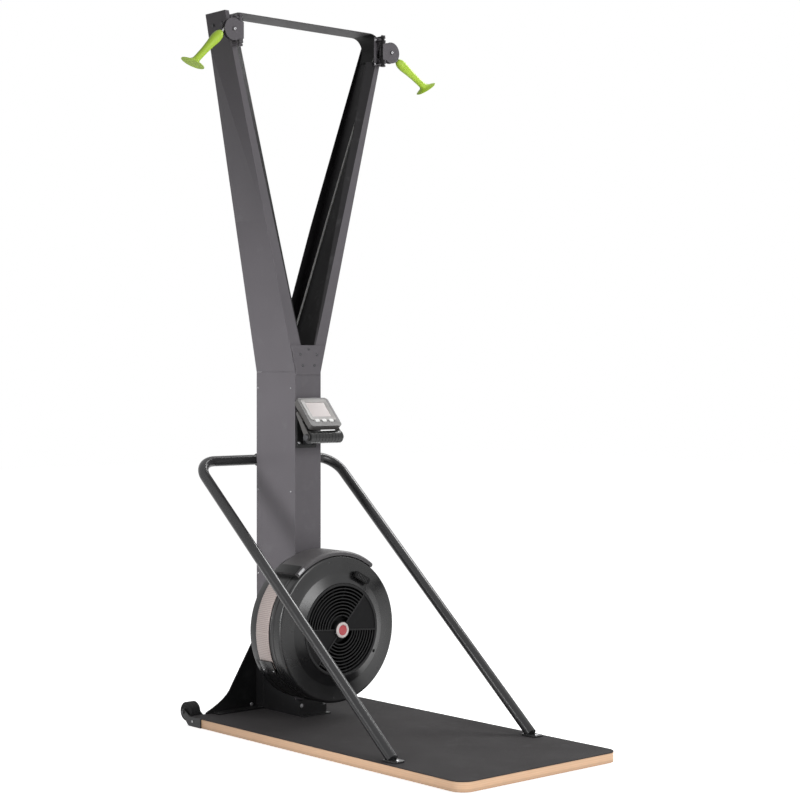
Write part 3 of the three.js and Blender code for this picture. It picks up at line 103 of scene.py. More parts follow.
class Sheet:
    """Lays out the nodes of one node tree."""

    def __init__(self, tree: Tree) -> None:
        """Starts from an empty tree."""
        self.tree = tree
        tree.nodes.clear()

    def feed(self, value: object, target: Socket) -> None:
        """Links an output to an input, or sets the input's own value.

        Args:
            value: a socket to link, or the value to set.
            target: the input.
        """
        if isinstance(value, Socket):
            self.tree.links.new(value, target)
        else:
            target.default_value = value

    def add(self, kind: str, values: dict | None = None, **settings: object) -> Node:
        """Adds a node.

        Args:
            kind: the node's type name.
            values: by input name or index, a socket to link or a value to set.
            **settings: properties of the node.

        Returns:
            The new node.
        """
        node = self.tree.nodes.new(kind)
        for key, value in settings.items():
            setattr(node, key, value)
        for key, value in (values or {}).items():
            self.feed(value, node.inputs[key])
        return node

    def math(self, operation: str, first: object, second: object = 0.0) -> Socket:
        """Adds a Math node on two sockets or numbers and gives its result."""
        return self.add("ShaderNodeMath", {0: first, 1: second}, operation=operation).outputs[0]

    def blend(self, share: Socket, first: object, second: object) -> Socket:
        """Mixes two colours.

        Args:
            share: the second colour's share.
            first: a socket or a colour.
            second: a socket or a colour.

        Returns:
            The mixed colour's socket.
        """
        node = self.add("ShaderNodeMix", {"Factor": share}, data_type="RGBA")
        for name, value in (("A", first), ("B", second)):
            self.feed(value, next(s for s in node.inputs if s.name == name and s.type == "RGBA"))
        return next(s for s in node.outputs if s.type == "RGBA")

    def ramp(self, value: Socket, low: float, high: float, top: float = 1.0) -> Socket:
        """Maps a value that runs from low to high onto 0 to top, held at both ends."""
        values = {"Value": value, "From Min": low, "From Max": high, "To Max": top}
        return self.add("ShaderNodeMapRange", values).outputs[0]

    def place(self) -> Socket:
        """Gives the Object coordinates."""
        return self.add("ShaderNodeTexCoord").outputs["Object"]

    def facing(self) -> Socket:
        """Gives the surface's normal."""
        return self.add("ShaderNodeNewGeometry").outputs["Normal"]

    def split(self, vector: Socket) -> tuple[Socket, Socket, Socket]:
        """Gives a vector's X, Y and Z."""
        return tuple(self.add("ShaderNodeSeparateXYZ", {0: vector}).outputs)

    def noise(self, place: Socket, scale: object, detail: float, roughness: float) -> Socket:
        """Adds a noise texture and gives its value."""
        values = {"Vector": place, "Scale": scale, "Detail": detail, "Roughness": roughness}
        return self.add("ShaderNodeTexNoise", values).outputs["Fac"]

    def finish(self, output: str, unseen: Socket, seen: Socket) -> None:
        """Ends a tree in one shader for camera, glossy and transmission rays and another for the rest.

        Args:
            output: the output node's type name.
            unseen: the shader for the other rays.
            seen: the shader for those three.
        """
        rays = self.add("ShaderNodeLightPath").outputs
        share = self.math("MAXIMUM", rays["Is Camera Ray"], rays["Is Glossy Ray"])
        share = self.math("MAXIMUM", share, rays["Is Transmission Ray"])
        mixed = self.add("ShaderNodeMixShader", {0: share, 1: unseen, 2: seen})
        self.add(output, {"Surface": mixed.outputs[0]})


class Effects:
    """The shader groups that more than one material uses, each built once."""

    @staticmethod
    def group(name: str, inputs: dict[str, float], outputs: tuple[str, ...], fill: Callable) -> Tree:
        """Finds a group, or builds it.

        Args:
            name: the group's name.
            inputs: default values of its float inputs.
            outputs: the names of its float outputs.
            fill: builds the effect from the sheet and the inputs' sockets, and gives the outputs in order.

        Returns:
            The group.
        """
        tree = bpy.data.node_groups.get(name)
        if not tree:
            tree = bpy.data.node_groups.new(name, "ShaderNodeTree")
            for label, value in inputs.items():
                socket = tree.interface.new_socket(label, in_out="INPUT", socket_type="NodeSocketFloat")
                socket.default_value = value
            for label in outputs:
                tree.interface.new_socket(label, in_out="OUTPUT", socket_type="NodeSocketFloat")
            sheet = Sheet(tree)
            made = fill(sheet, sheet.add("NodeGroupInput").outputs)
            sheet.add("NodeGroupOutput", dict(zip(outputs, made)))
        return tree

    @classmethod
    def grain(cls) -> Tree:
        """Fine surface grain with a slow change of tone."""
        return cls.group("FineGrain", {"Scale": 900.0, "Depth": 1.0}, ("Height", "Tone"), cls.fill_grain)

    @staticmethod
    def fill_grain(sheet: Sheet, start: dict[str, Socket]) -> tuple[Socket, ...]:
        """Builds the grain.

        Args:
            sheet: the group's sheet.
            start: its inputs Scale and Depth.

        Returns:
            Its Height and its Tone.
        """
        place = sheet.place()
        fine = sheet.noise(place, start["Scale"], 3.0, 0.6)
        return sheet.math("MULTIPLY", fine, start["Depth"]), sheet.noise(place, 6.0, 4.0, 0.55)

    @classmethod
    def wear(cls) -> Tree:
        """Rubbed patches, and dust on what faces up."""
        inputs = {"Scale": 14.0, "Rub": 0.2, "Dust": 0.2}
        return cls.group("WearAndDust", inputs, ("Rubbed", "Dusty"), cls.fill_wear)

    @staticmethod
    def fill_wear(sheet: Sheet, start: dict[str, Socket]) -> tuple[Socket, ...]:
        """Builds the masks of the wear.

        Args:
            sheet: the group's sheet.
            start: its inputs Scale, Rub and Dust.

        Returns:
            The masks Rubbed and Dusty.
        """
        cloud = sheet.noise(sheet.place(), start["Scale"], 7.0, 0.68)
        rubbed = sheet.math("MULTIPLY", sheet.ramp(cloud, 0.58, 0.74), start["Rub"])
        upward = sheet.ramp(sheet.split(sheet.facing())[2], 0.45, 1.0)
        settled = sheet.math("MULTIPLY", upward, cloud)
        return rubbed, sheet.math("MULTIPLY", settled, start["Dust"])


@dataclass(frozen=True)
class Finish:
    """A painted, moulded or plated surface with grain, rubbed patches and dust."""

    name: str
    slot: str
    color: Color
    roughness: float = 0.5
    metallic: float = 0.0
    grain_scale: float = 900.0
    grain_depth: float = 1.0
    bump: float = 0.12
    bump_distance: float = 0.0006
    tone: float = 0.12
    tone_gloss: float = 0.25
    rub: float = 0.15
    rub_color: Color = display(130, 130, 132)
    dust: float = 0.1
    dust_color: Color = display(150, 146, 140)
    coat: float = 0.0
    specular: float = 0.5

    def material(self) -> bpy.types.Material:
        """Finds the finish's material, or builds it.

        Returns:
            The material.
        """
        made = bpy.data.materials.get(self.name)
        if made:
            return made
        made = bpy.data.materials.new(self.name)
        made.use_nodes = True
        sheet = Sheet(made.node_tree)
        grain = sheet.add("ShaderNodeGroup", {"Scale": self.grain_scale, "Depth": self.grain_depth},
                          node_tree=Effects.grain()).outputs
        wear = sheet.add("ShaderNodeGroup", {"Rub": self.rub, "Dust": self.dust},
                         node_tree=Effects.wear()).outputs
        rubbed = sheet.blend(wear["Rubbed"], self.base_color(sheet, grain), self.rub_color)
        spread = sheet.math("MULTIPLY", sheet.math("SUBTRACT", grain["Tone"], 0.5), self.tone_gloss)
        rough = sheet.math("ADD", spread, self.roughness)
        bump = sheet.add("ShaderNodeBump", {
            "Strength": self.bump, "Distance": self.bump_distance, "Height": self.height(sheet, grain),
        })
        shader = sheet.add("ShaderNodeBsdfPrincipled", {
            "Base Color": sheet.blend(wear["Dusty"], rubbed, self.dust_color),
            "Metallic": self.metallic,
            "Roughness": sheet.math("ADD", rough, wear["Dusty"]),
            "Normal": bump.outputs["Normal"],
            "Coat Weight": self.coat,
            "Specular IOR Level": self.specular,
        })
        sheet.add("ShaderNodeOutputMaterial", {"Surface": shader.outputs["BSDF"]})
        return made

    def base_color(self, sheet: Sheet, grain: dict[str, Socket]) -> Socket:
        """Gives the colour with its slow change of tone."""
        return sheet.blend(grain["Tone"], shade(self.color, 1 - self.tone), shade(self.color, 1 + self.tone))

    def height(self, sheet: Sheet, grain: dict[str, Socket]) -> Socket:
        """Gives the height that the bump reads."""
        return grain["Height"]


@dataclass(frozen=True)
class FoldedFinish(Finish):
    """Coated sheet with painted shade: the faces inside the channel get a darker copy of its colour."""

    # share of the colour kept on the faces inside the channel, as painted shade
    inside: float = 0.16
    # depth behind which the faces that look forward also get the painted shade
    front: float = 0.43

    def base_color(self, sheet: Sheet, grain: dict[str, Socket]) -> Socket:
        """Paints shade on the faces that look inwards, and on those behind the front that look forward.

        Args:
            sheet: the material's sheet.
            grain: the grain group's outputs.

        Returns:
            The colour's socket.
        """
        x, y, _ = sheet.split(sheet.place())
        facing_x, facing_y, _ = sheet.split(sheet.facing())
        inward = sheet.ramp(sheet.math("MULTIPLY", x, facing_x), 0.0, -0.02)
        behind = sheet.ramp(y, self.front, self.front + 0.01)
        forward = sheet.math("MULTIPLY", behind, sheet.ramp(facing_y, -0.2, -0.5))
        # painted shade: the faces inside the channel take a darker copy of the colour
        painted_shade_mask = sheet.math("MAXIMUM", inward, forward)
        return sheet.blend(painted_shade_mask, super().base_color(sheet, grain), shade(self.color, self.inside))


@dataclass(frozen=True)
class PlywoodFinish(Finish):
    """Birch plywood: veneers stacked in Z, with grain along X or Y in turn."""

    veneer: float = 0.0029
    soiled: float = 0.015  # height in metres where the painted shade band along the lower edge ends
    darkest: float = 0.004  # height up to which it is darkest
    stretch: Place = (12.0, 12.0, 700.0)
    dark: Color = display(206, 164, 128)

    def base_color(self, sheet: Sheet, grain: dict[str, Socket]) -> Socket:
        """Gives the veneers' colours, with a band of painted shade along the lower edge.

        Args:
            sheet: the material's sheet.
            grain: the grain group's outputs.

        Returns:
            The colour's socket.
        """
        place = sheet.place()
        z = sheet.split(place)[2]
        across = sheet.ramp(sheet.math("FRACT", sheet.math("DIVIDE", z, self.veneer * 2)), 0.46, 0.54)
        drawn = sheet.add("ShaderNodeMapping", {"Vector": place, "Scale": self.stretch}).outputs["Vector"]
        veined = sheet.blend(sheet.noise(drawn, 2.0, 6.0, 0.7), self.dark, self.color)
        layers = sheet.blend(sheet.math("MULTIPLY", across, 0.35), veined, self.dark)
        # painted shade: the lowest veneers darken towards the floor
        return sheet.blend(sheet.ramp(z, self.soiled, self.darkest, 0.6), layers, shade(self.dark, 0.6))


@dataclass(frozen=True)
class PebbleFinish(Finish):
    """Rubber sheet with a fine pebbled face."""

    pebble_scale: float = 520.0

    def height(self, sheet: Sheet, grain: dict[str, Socket]) -> Socket:
        """Adds pebbles to the grain."""
        cells = sheet.add("ShaderNodeTexVoronoi", {"Vector": sheet.place(), "Scale": self.pebble_scale})
        return sheet.math("ADD", cells.outputs["Distance"], grain["Height"])


@dataclass(frozen=True)
class BraidFinish(Finish):
    """Braided cord: strands that cross at a slant, on the piece's own UV map."""

    strands: float = 8.0
    pitch: float = 0.012

    def base_color(self, sheet: Sheet, grain: dict[str, Socket]) -> Socket:
        """Darkens the colour between the strands."""
        return sheet.blend(self.height(sheet, grain), shade(self.color, 0.45), self.color)

    def height(self, sheet: Sheet, grain: dict[str, Socket]) -> Socket:
        """Builds the crossing strands.

        Args:
            sheet: the material's sheet.
            grain: the grain group's outputs, which a braid doesn't use.

        Returns:
            The socket of the strands' height.
        """
        turns, run, _ = sheet.split(sheet.add("ShaderNodeUVMap", uv_map="UVMap").outputs["UV"])
        around = sheet.math("MULTIPLY", turns, self.strands * math.pi)
        along = sheet.math("MULTIPLY", run, math.tau / self.pitch)
        slants = [sheet.math("SINE", sheet.math(way, around, along)) for way in ("ADD", "SUBTRACT")]
        return sheet.math("MAXIMUM", *slants)


@dataclass(frozen=True)
class PerforatedFinish(Finish):
    """Thin sheet with rows of small round holes, on polar coordinates about the fan's axis."""

    pitch: float = 0.0055
    radius: float = 0.222
    axis_z: float = 0.304
    hole_color: Color = display(124, 114, 111)

    def dots(self, sheet: Sheet) -> Socket:
        """Builds the mask of the holes.

        Args:
            sheet: the material's sheet.

        Returns:
            The mask's socket, 1 inside a hole.
        """
        x, y, z = sheet.split(sheet.place())
        angle = sheet.math("ARCTAN2", sheet.math("SUBTRACT", z, self.axis_z), x)
        runs = (sheet.math("MULTIPLY", angle, self.radius), y)
        waves = [sheet.math("COSINE", sheet.math("MULTIPLY", sheet.math("DIVIDE", run, self.pitch), math.tau))
                 for run in runs]
        return sheet.ramp(sheet.math("ADD", *waves), 0.35, 0.75)

    def base_color(self, sheet: Sheet, grain: dict[str, Socket]) -> Socket:
        """Darkens the holes."""
        return sheet.blend(self.dots(sheet), self.color, self.hole_color)

    def height(self, sheet: Sheet, grain: dict[str, Socket]) -> Socket:
        """Sinks the holes."""
        return sheet.math("SUBTRACT", 1.0, self.dots(sheet))


class Palette:
    """Every finish on the machine."""

    NOWHERE = 9.0  # metres; a front behind which nothing lies

    # The graphite coat has painted shade on the faces inside the arm and post channels.
    GRAPHITE = FoldedFinish("graphite_coat", "graphite", display(99, 96, 100), 0.5, bump=0.14, dust=0.02,
                            specular=0.15, inside=0.12)
    BLACK_STEEL = Finish("black_coat", "black_steel", display(23, 23, 24), 0.36, dust=0.02, rub=0.06,
                         specular=0.3)
    RAIL = Finish("rail_coat", "black_steel", display(46, 46, 47), 0.24, bump=0.06, dust=0.02, rub=0.05,
                  specular=0.3)
    # The bridge coat has painted shade on its faces that look inwards.
    BRIDGE = FoldedFinish("bridge_coat", "black_steel", display(92, 91, 92), dust=0.0, rub=0.0, specular=0.1,
                          inside=0.06, front=NOWHERE)
    HOUSING = Finish("housing_plastic", "black_plastic", display(17, 17, 18), 0.28, grain_scale=1400,
                     bump=0.08, dust=0.02, rub=0.03)
    GRILLE = Finish("grille_plastic", "black_plastic", display(20, 20, 21), 0.45, grain_scale=1400, dust=0.02,
                    rub=0.03, specular=0.25)
    INNER = Finish("inner_plastic", "black_plastic", display(14, 14, 15), 0.6, grain_scale=1400, dust=0.01,
                   rub=0.02, specular=0.15)
    SOFT = Finish("wheel_rubber", "rubber", display(20, 20, 21), 0.75, grain_scale=700, bump=0.2, dust=0.08,
                  specular=0.25)
    MAT = PebbleFinish("mat_rubber", "mat", display(50, 48, 49), 0.8, bump=0.5, dust=0.02, rub=0.06,
                       tone=0.08, specular=0.2)
    PLY = PlywoodFinish("birch_ply", "board", display(236, 201, 168), rub=0.03, dust=0.0, coat=0.15)
    BAND = PerforatedFinish("perforated_band", "band", display(172, 160, 156), 0.42, 0.35, bump=0.5, rub=0.05)
    HOOD = Finish("hood_plastic", "black_plastic", display(60, 58, 60), 0.42, grain_scale=1400, bump=0.08)
    LIME = Finish("lime_grip", "lime", display(178, 212, 62), grain_scale=1100, rub=0.12, dust=0.0, tone=0.07,
                  rub_color=display(196, 224, 96))
    STEEL = Finish("zinc_screw", "steel", display(168, 168, 170), 0.35, 0.85, rub=0.2, dust=0.02)
    DARK_SCREW = Finish("dark_screw", "black_steel", display(70, 70, 72), 0.38, 0.7, dust=0.02)
    CORD = BraidFinish("braided_cord", "cord", display(232, 232, 230), 0.7, bump=0.6, rub=0.05, dust=0.0)
    BUNGEE = BraidFinish("braided_bungee", "rubber", display(34, 34, 36), 0.8, bump=0.6, dust=0.0)
    CASE = Finish("monitor_case", "monitor_grey", display(70, 68, 67), 0.42, grain_scale=1500, dust=0.03)
    BEZEL = Finish("monitor_bezel", "monitor_grey", display(118, 114, 111), 0.35, grain_scale=1500, dust=0.0)
    GLASS = Finish("screen_glass", "screen", display(180, 169, 167), 0.22, bump=0.02, rub=0.03, dust=0.0,
                   coat=0.5)
    KEYS = Finish("key_caps", "keys", display(226, 226, 224), 0.45, grain_scale=1500, rub=0.05, dust=0.0)
    RED = Finish("hub_red", "hub_red", display(176, 48, 56), 0.35, rub=0.05, dust=0.0, coat=0.3)
    PALE = Finish("hub_ring", "hub_red", display(206, 196, 194), 0.4, rub=0.05, dust=0.0)


def placed(name: str, data: bpy.types.ID) -> Piece:
    """Puts data into the scene as a new object at the origin.

    Args:
        name: the object's name.
        data: its mesh, light or camera.

    Returns:
        The new object.
    """
    made = bpy.data.objects.new(name, data)
    bpy.context.scene.collection.objects.link(made)
    return made


def smooth(mesh: bpy.types.Mesh, angle: float = SHARP) -> None:
    """Smooths a mesh, except at edges sharper than an angle in degrees."""
    mesh.shade_smooth()
    mesh.set_sharp_from_angle(angle=math.radians(angle))


def oblong(left: float, right: float, low: float, high: float) -> Points:
    """Gives the four corners of a rectangle."""
    return [(left, low), (right, low), (right, high), (left, high)]


def skinned(name: str, rings: list[Points], closed: bool = False) -> Piece:
    """Skins rings of equal point count with outward faces, smooth except at sharp edges.

    Args:
        name: the object's name.
        rings: the rings, in order.
        closed: joins the last ring to the first; otherwise both ends are capped.

    Returns:
        The new object.
    """
    size, count = len(rings[0]), len(rings)
    faces = []
    for level in range(count if closed else count - 1):
        here, after = level * size, (level + 1) % count * size
        for k in range(size):
            beside = (k + 1) % size
            faces.append((here + k, here + beside, after + beside, after + k))
    if not closed:
        faces += [tuple(range(size)), tuple(range((count - 1) * size, count * size))]
    mesh = bpy.data.meshes.new(name)
    mesh.from_pydata([tuple(p) for ring in rings for p in ring], [], faces)
    work = bmesh.new()
    work.from_mesh(mesh)
    bmesh.ops.remove_doubles(work, verts=work.verts, dist=1e-6)
    bmesh.ops.recalc_face_normals(work, faces=work.faces)
    work.to_mesh(mesh)
    work.free()
    smooth(mesh)
    return placed(name, mesh)


def soften(corners: Points, radius: float, steps: int = 4) -> Points:
    """Rounds every corner of a closed outline.

    Args:
        corners: the corners, in order.
        radius: the largest rounding; short edges get less.
        steps: points on each rounding, less one.

    Returns:
        The rounded outline.
    """
    made = []
    for index, corner in enumerate(corners):
        here = Vector(corner)
        back = Vector(corners[index - 1]) - here
        ahead = Vector(corners[(index + 1) % len(corners)]) - here
        reach = min(radius, back.length * 0.45, ahead.length * 0.45)
        start = here + back.normalized() * reach
        end = here + ahead.normalized() * reach
        for step in range(steps + 1):
            t = step / steps
            made.append(tuple(start * (1 - t) ** 2 + here * 2 * t * (1 - t) + end * t * t))
    return made


def turned(name: str, profile: Points, centre: tuple[float, float] = (0.0, 0.0), start: float = 0.0,
           end: float = 360.0, segments: int = 144) -> Piece:
    """Turns a closed profile about an axis along Y.

    Args:
        name: the object's name.
        profile: points of (radius, y).
        centre: the axis's x and z.
        start: first angle in degrees, from +X towards +Z.
        end: last angle in degrees.
        segments: steps in a full turn.

    Returns:
        The new object.
    """
    full = end - start >= 360
    steps = segments if full else max(2, round(segments * (end - start) / 360))
    rings = []
    for step in range(steps if full else steps + 1):
        angle = math.radians(start + (end - start) * step / steps)
        rings.append([(centre[0] + radius * math.cos(angle), y, centre[1] + radius * math.sin(angle))
                      for radius, y in profile])
    return skinned(name, rings, full)


def along_x(piece: Piece, place: Place, turn: float = -QUARTER, depth: float = 1.0) -> Piece:
    """Lays a piece that was turned about Y along X.

    Args:
        piece: the piece, made about the origin.
        place: where its origin goes.
        turn: the angle about Z.
        depth: the share of its length that it keeps.

    Returns:
        The piece.
    """
    piece.data.transform(Matrix.Translation(place) @ Matrix.Rotation(turn, 4, "Z")
                         @ Matrix.Diagonal((1, depth, 1, 1)))
    return piece


def bent(points: list[Vector], bend: float, steps: int) -> list[Vector]:
    """Rounds the inner corners of an open path.

    Args:
        points: the path's corners.
        bend: the radius of each bend.
        steps: points on each bend, less one.

    Returns:
        The rounded path.
    """
    made = [points[0]]
    for before, here, after in zip(points, points[1:], points[2:]):
        back, ahead = (before - here).normalized(), (after - here).normalized()
        half = back.angle(ahead) / 2
        start = here + back * (bend / math.tan(half))
        centre = here + (back + ahead).normalized() * (bend / math.sin(half))
        arm = start - centre
        for step in range(steps + 1):
            turn = (math.pi - 2 * half) * step / steps
            made.append(centre + arm * math.cos(turn) - back * (bend * math.sin(turn)))
    made.append(points[-1])
    return made


def swept(name: str, path: list[Vector], radius: float, sides: int = 16) -> Piece:
    """Sweeps a round section along a path, with a UV map of turns and metres.

    Args:
        name: the object's name.
        path: the points followed.
        radius: the section's radius.
        sides: points round the section.

    Returns:
        The new object.
    """
    last = len(path) - 1
    tangents = [(path[min(i + 1, last)] - path[max(i - 1, 0)]).normalized() for i in range(last + 1)]
    across = tangents[0].orthogonal().normalized()
    rings, run = [], [0.0]
    for index, (place, along) in enumerate(zip(path, tangents)):
        across = (across - along * across.dot(along)).normalized()
        up = along.cross(across)
        rings.append([tuple(place + (across * math.cos(t) + up * math.sin(t)) * radius)
                      for t in (math.tau * k / sides for k in range(sides))])
        if index:
            run.append(run[-1] + (place - path[index - 1]).length)
    made = skinned(name, rings)
    layer = made.data.uv_layers.new(name="UVMap")
    for face in made.data.polygons:
        corners = [(made.data.loops[i].vertex_index, i) for i in face.loop_indices]
        wraps = {v % sides for v, _ in corners} >= {0, sides - 1} and len(corners) == 4
        for vertex, loop in corners:
            turn = vertex % sides
            layer.data[loop].uv = ((sides if wraps and turn == 0 else turn) / sides, run[vertex // sides])
    return made


def round_edges(piece: Piece, width: float, weld: bool = False) -> None:
    """Adds a bevel to every sharp edge.

    Args:
        piece: the object.
        width: the bevel's width in metres.
        weld: joins loose triangles first, as a CAD node needs.
    """
    if weld:
        piece.modifiers.new("Weld", "WELD").merge_threshold = 1e-5
    bevel = piece.modifiers.new("Edges", "BEVEL")
    bevel.width = width
    bevel.segments = 2
    bevel.limit_method = "ANGLE"
    bevel.angle_limit = math.radians(40)
    bevel.harden_normals = False


def plate(name: str, outline: Points, low: float, high: float, place: Matrix, bevel: float) -> Piece:
    """Extrudes an outline along its own Z and rounds its edges.

    Args:
        name: the object's name.
        outline: points of (x, y) in the plate's own frame.
        low: the back face's height in that frame.
        high: the front face's height in that frame.
        place: the frame.
        bevel: the width of the rounded edges.

    Returns:
        The new object.
    """
    made = skinned(name, [[tuple(place @ Vector((x, y, z))) for x, y in outline] for z in (low, high)])
    round_edges(made, bevel)
    return made


def settle(piece: Piece, finish: Finish, body: str, *nodes: str) -> Piece:
    """Gives a piece its finish, its body and the nodes that it stands for.

    Args:
        piece: the object, in place.
        finish: its finish.
        body: the CAD body that it rides on.
        *nodes: the CAD nodes that it replaces.

    Returns:
        The piece.
    """
    piece.data.materials.clear()
    piece.data.materials.append(finish.material())
    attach(piece, body)
    if nodes:
        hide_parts(*nodes)
    LOG.info("%s rides on %s", piece.name, body)
    return piece


def paint(finish: Finish, *names: str, edge: float = 0.0) -> None:
    """Gives CAD nodes a finish and, if asked, rounded edges.

    Args:
        finish: the finish.
        *names: the nodes.
        edge: the width of the rounded edges, or 0 for none.
    """
    for name in names:
        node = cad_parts[name]
        node.data.materials.clear()
        node.data.materials.append(finish.material())
        if edge:
            round_edges(node, edge, weld=True)
        LOG.info("%s painted %s", name, finish.name)


class Repeats:
    """Geometry Nodes trees for what repeats."""

    @staticmethod
    def tree(name: str, inputs: dict[str, str], fill: Callable) -> Tree:
        """Finds a geometry tree, or builds it, ending in Realize Instances and Set Material.

        Args:
            name: the tree's name.
            inputs: the kind of socket by input name, apart from Geometry and Material.
            fill: builds the shape from the sheet and the inputs' sockets, and gives its socket.

        Returns:
            The tree.
        """
        made = bpy.data.node_groups.get(name)
        if made:
            return made
        made = bpy.data.node_groups.new(name, "GeometryNodeTree")
        for label, kind in {"Geometry": "Geometry", **inputs, "Material": "Material"}.items():
            made.interface.new_socket(label, in_out="INPUT", socket_type=f"NodeSocket{kind}")
        made.interface.new_socket("Geometry", in_out="OUTPUT", socket_type="NodeSocketGeometry")
        sheet = Sheet(made)
        start = sheet.add("NodeGroupInput").outputs
        real = sheet.add("GeometryNodeRealizeInstances", {"Geometry": fill(sheet, start)})
        painted = sheet.add("GeometryNodeSetMaterial", {
            "Geometry": real.outputs["Geometry"], "Material": start["Material"],
        })
        sheet.add("NodeGroupOutput", {"Geometry": painted.outputs["Geometry"]})
        return made

    @staticmethod
    def apply(name: str, mesh: bpy.types.Mesh, tree: Tree, values: dict[str, object],
              angle: float = 35.0) -> Piece:
        """Runs a tree on a mesh and keeps the result as a plain mesh.

        Args:
            name: the new piece's name.
            mesh: what the tree reads.
            tree: the geometry tree.
            values: input values by name.
            angle: edges sharper than this many degrees stay sharp.

        Returns:
            The new piece.
        """
        carrier = placed(mesh.name, mesh)
        modifier = carrier.modifiers.new("Repeat", "NODES")
        modifier.node_group = tree
        keys = {item.name: item.identifier for item in tree.interface.items_tree if item.in_out == "INPUT"}
        for label, value in values.items():
            modifier[keys[label]] = value
        depsgraph = bpy.context.evaluated_depsgraph_get()
        kept = bpy.data.meshes.new_from_object(carrier.evaluated_get(depsgraph), depsgraph=depsgraph)
        kept.name = name
        carrier.modifiers.remove(modifier)
        bpy.data.objects.remove(carrier)
        smooth(kept, angle)
        return placed(name, kept)

    @staticmethod
    def heads(sheet: Sheet, start: dict[str, Socket]) -> Socket:
        """Puts a head at every point, facing along the point's own direction.

        Args:
            sheet: the tree's sheet.
            start: its inputs Geometry, Head and Size.

        Returns:
            The row's socket.
        """
        head = sheet.add("GeometryNodeObjectInfo", {"Object": start["Head"]})
        facing = sheet.add("GeometryNodeInputNamedAttribute", {"Name": "facing"}, data_type="FLOAT_VECTOR")
        way = {"Vector": facing.outputs["Attribute"]}
        turn = sheet.add("FunctionNodeAlignRotationToVector", way, axis="Z")
        return sheet.add("GeometryNodeInstanceOnPoints", {
            "Points": start["Geometry"], "Instance": head.outputs["Geometry"],
            "Rotation": turn.outputs["Rotation"], "Scale": start["Size"],
        }).outputs["Instances"]

    @staticmethod
    def rings(sheet: Sheet, start: dict[str, Socket]) -> Socket:
        """Draws concentric arcs of one bar section, in the plane of X and Z.

        Args:
            sheet: the tree's sheet.
            start: its inputs Count, First, Pitch, Start, Sweep, Width and Depth.

        Returns:
            The bars' socket.
        """
        arc = sheet.add("GeometryNodeCurveArc", {
            "Resolution": 64, "Radius": 1.0, "Start Angle": start["Start"], "Sweep Angle": start["Sweep"],
        }, mode="RADIUS")
        line = sheet.add("GeometryNodeMeshLine", {
            "Count": start["Count"], "Start Location": (0, 0, 0), "Offset": (0, 0, 0),
        })
        index = sheet.add("GeometryNodeInputIndex").outputs[0]
        radius = sheet.math("ADD", sheet.math("MULTIPLY", index, start["Pitch"]), start["First"])
        row = sheet.add("GeometryNodeInstanceOnPoints", {
            "Points": line.outputs["Mesh"], "Instance": arc.outputs["Curve"], "Scale": radius,
        })
        real = sheet.add("GeometryNodeRealizeInstances", {"Geometry": row.outputs["Instances"]})
        section = sheet.add("GeometryNodeCurvePrimitiveQuadrilateral", {
            "Width": start["Width"], "Height": start["Depth"],
        })
        bars = sheet.add("GeometryNodeCurveToMesh", {
            "Curve": real.outputs["Geometry"], "Profile Curve": section.outputs["Curve"], "Fill Caps": True,
        })
        stood = sheet.add("GeometryNodeTransform", {
            "Geometry": bars.outputs["Mesh"], "Rotation": (QUARTER, 0, 0),
        })
        return stood.outputs["Geometry"]


def facing(way: Place | Vector, *spots: Place | Vector) -> list[tuple]:
    """Pairs each spot with the one direction that all the heads face."""
    return [(spot, way) for spot in spots]


class Fasteners:
    """Screws, bolts and rivets, one row for each body and kind."""

    # Each ring of a head: its radius and height for a size of 1, and whether it is six-sided.
    DOME = [(1.0, 0.0, False), (1.0, 0.25, False), (0.92, 0.42, False), (0.72, 0.56, False),
            (0.5, 0.6, False)]
    HEADS = {
        "rivet": DOME,
        "socket": DOME + [(0.42, 0.6, True), (0.42, 0.28, True)],
        "hex": [(1.35, 0.0, False), (1.35, 0.1, False), (1.0, 0.12, True), (1.0, 0.62, True),
                (0.86, 0.72, False), (0.5, 0.72, False)],
    }

    @classmethod
    def head(cls, kind: str, sides: int = 24) -> Piece:
        """Builds one head about the origin, facing +Z, 1 mm in radius for a size of 1.

        Args:
            kind: a key of HEADS.
            sides: points round the head.

        Returns:
            The head, which no view shows.
        """
        rings = []
        for radius, z, six in cls.HEADS[kind]:
            ring = []
            for k in range(sides):
                t = math.tau * k / sides
                flat = math.cos(math.pi / 6) / math.cos((t % (math.pi / 3)) - math.pi / 6) if six else 1.0
                reach = radius * flat
                ring.append((reach * math.cos(t) / 1000, reach * math.sin(t) / 1000, z / 1000))
            rings.append(ring)
        made = skinned(f"head_{kind}", rings)
        made.hide_render = True
        made.hide_viewport = True
        return made

    @classmethod
    def row(cls, name: str, places: list[tuple], size: float, kind: str, finish: Finish,
            body: str = "frame") -> None:
        """Sets a row of heads.

        Args:
            name: the row's name.
            places: pairs of a place and the direction that its head faces.
            size: the head's radius in millimetres.
            kind: "socket", "rivet" or "hex".
            finish: the heads' finish.
            body: the CAD body that they ride on.
        """
        head = bpy.data.objects.get(f"head_{kind}") or cls.head(kind)
        mesh = bpy.data.meshes.new(f"{name}_points")
        mesh.from_pydata([tuple(spot) for spot, _ in places], [], [])
        ways = mesh.attributes.new("facing", "FLOAT_VECTOR", "POINT")
        for index, (_, way) in enumerate(places):
            ways.data[index].vector = Vector(way).normalized()
        tree = Repeats.tree("FastenerRow", {"Head": "Object", "Size": "Float"}, Repeats.heads)
        made = Repeats.apply(name, mesh, tree, {"Head": head, "Size": size, "Material": finish.material()})
        settle(made, finish, body)


class BaseBoard:
    """Plywood board with its mat and foot strips."""

    def dress(self) -> None:
        """Paints the board, the mat and the strips."""
        paint(Palette.PLY, "base_board", edge=0.0012)
        paint(Palette.MAT, "grip_mat", edge=0.0009)
        paint(Palette.SOFT, "foot_strip_front", "foot_strip_middle", "foot_strip_rear", edge=0.0008)


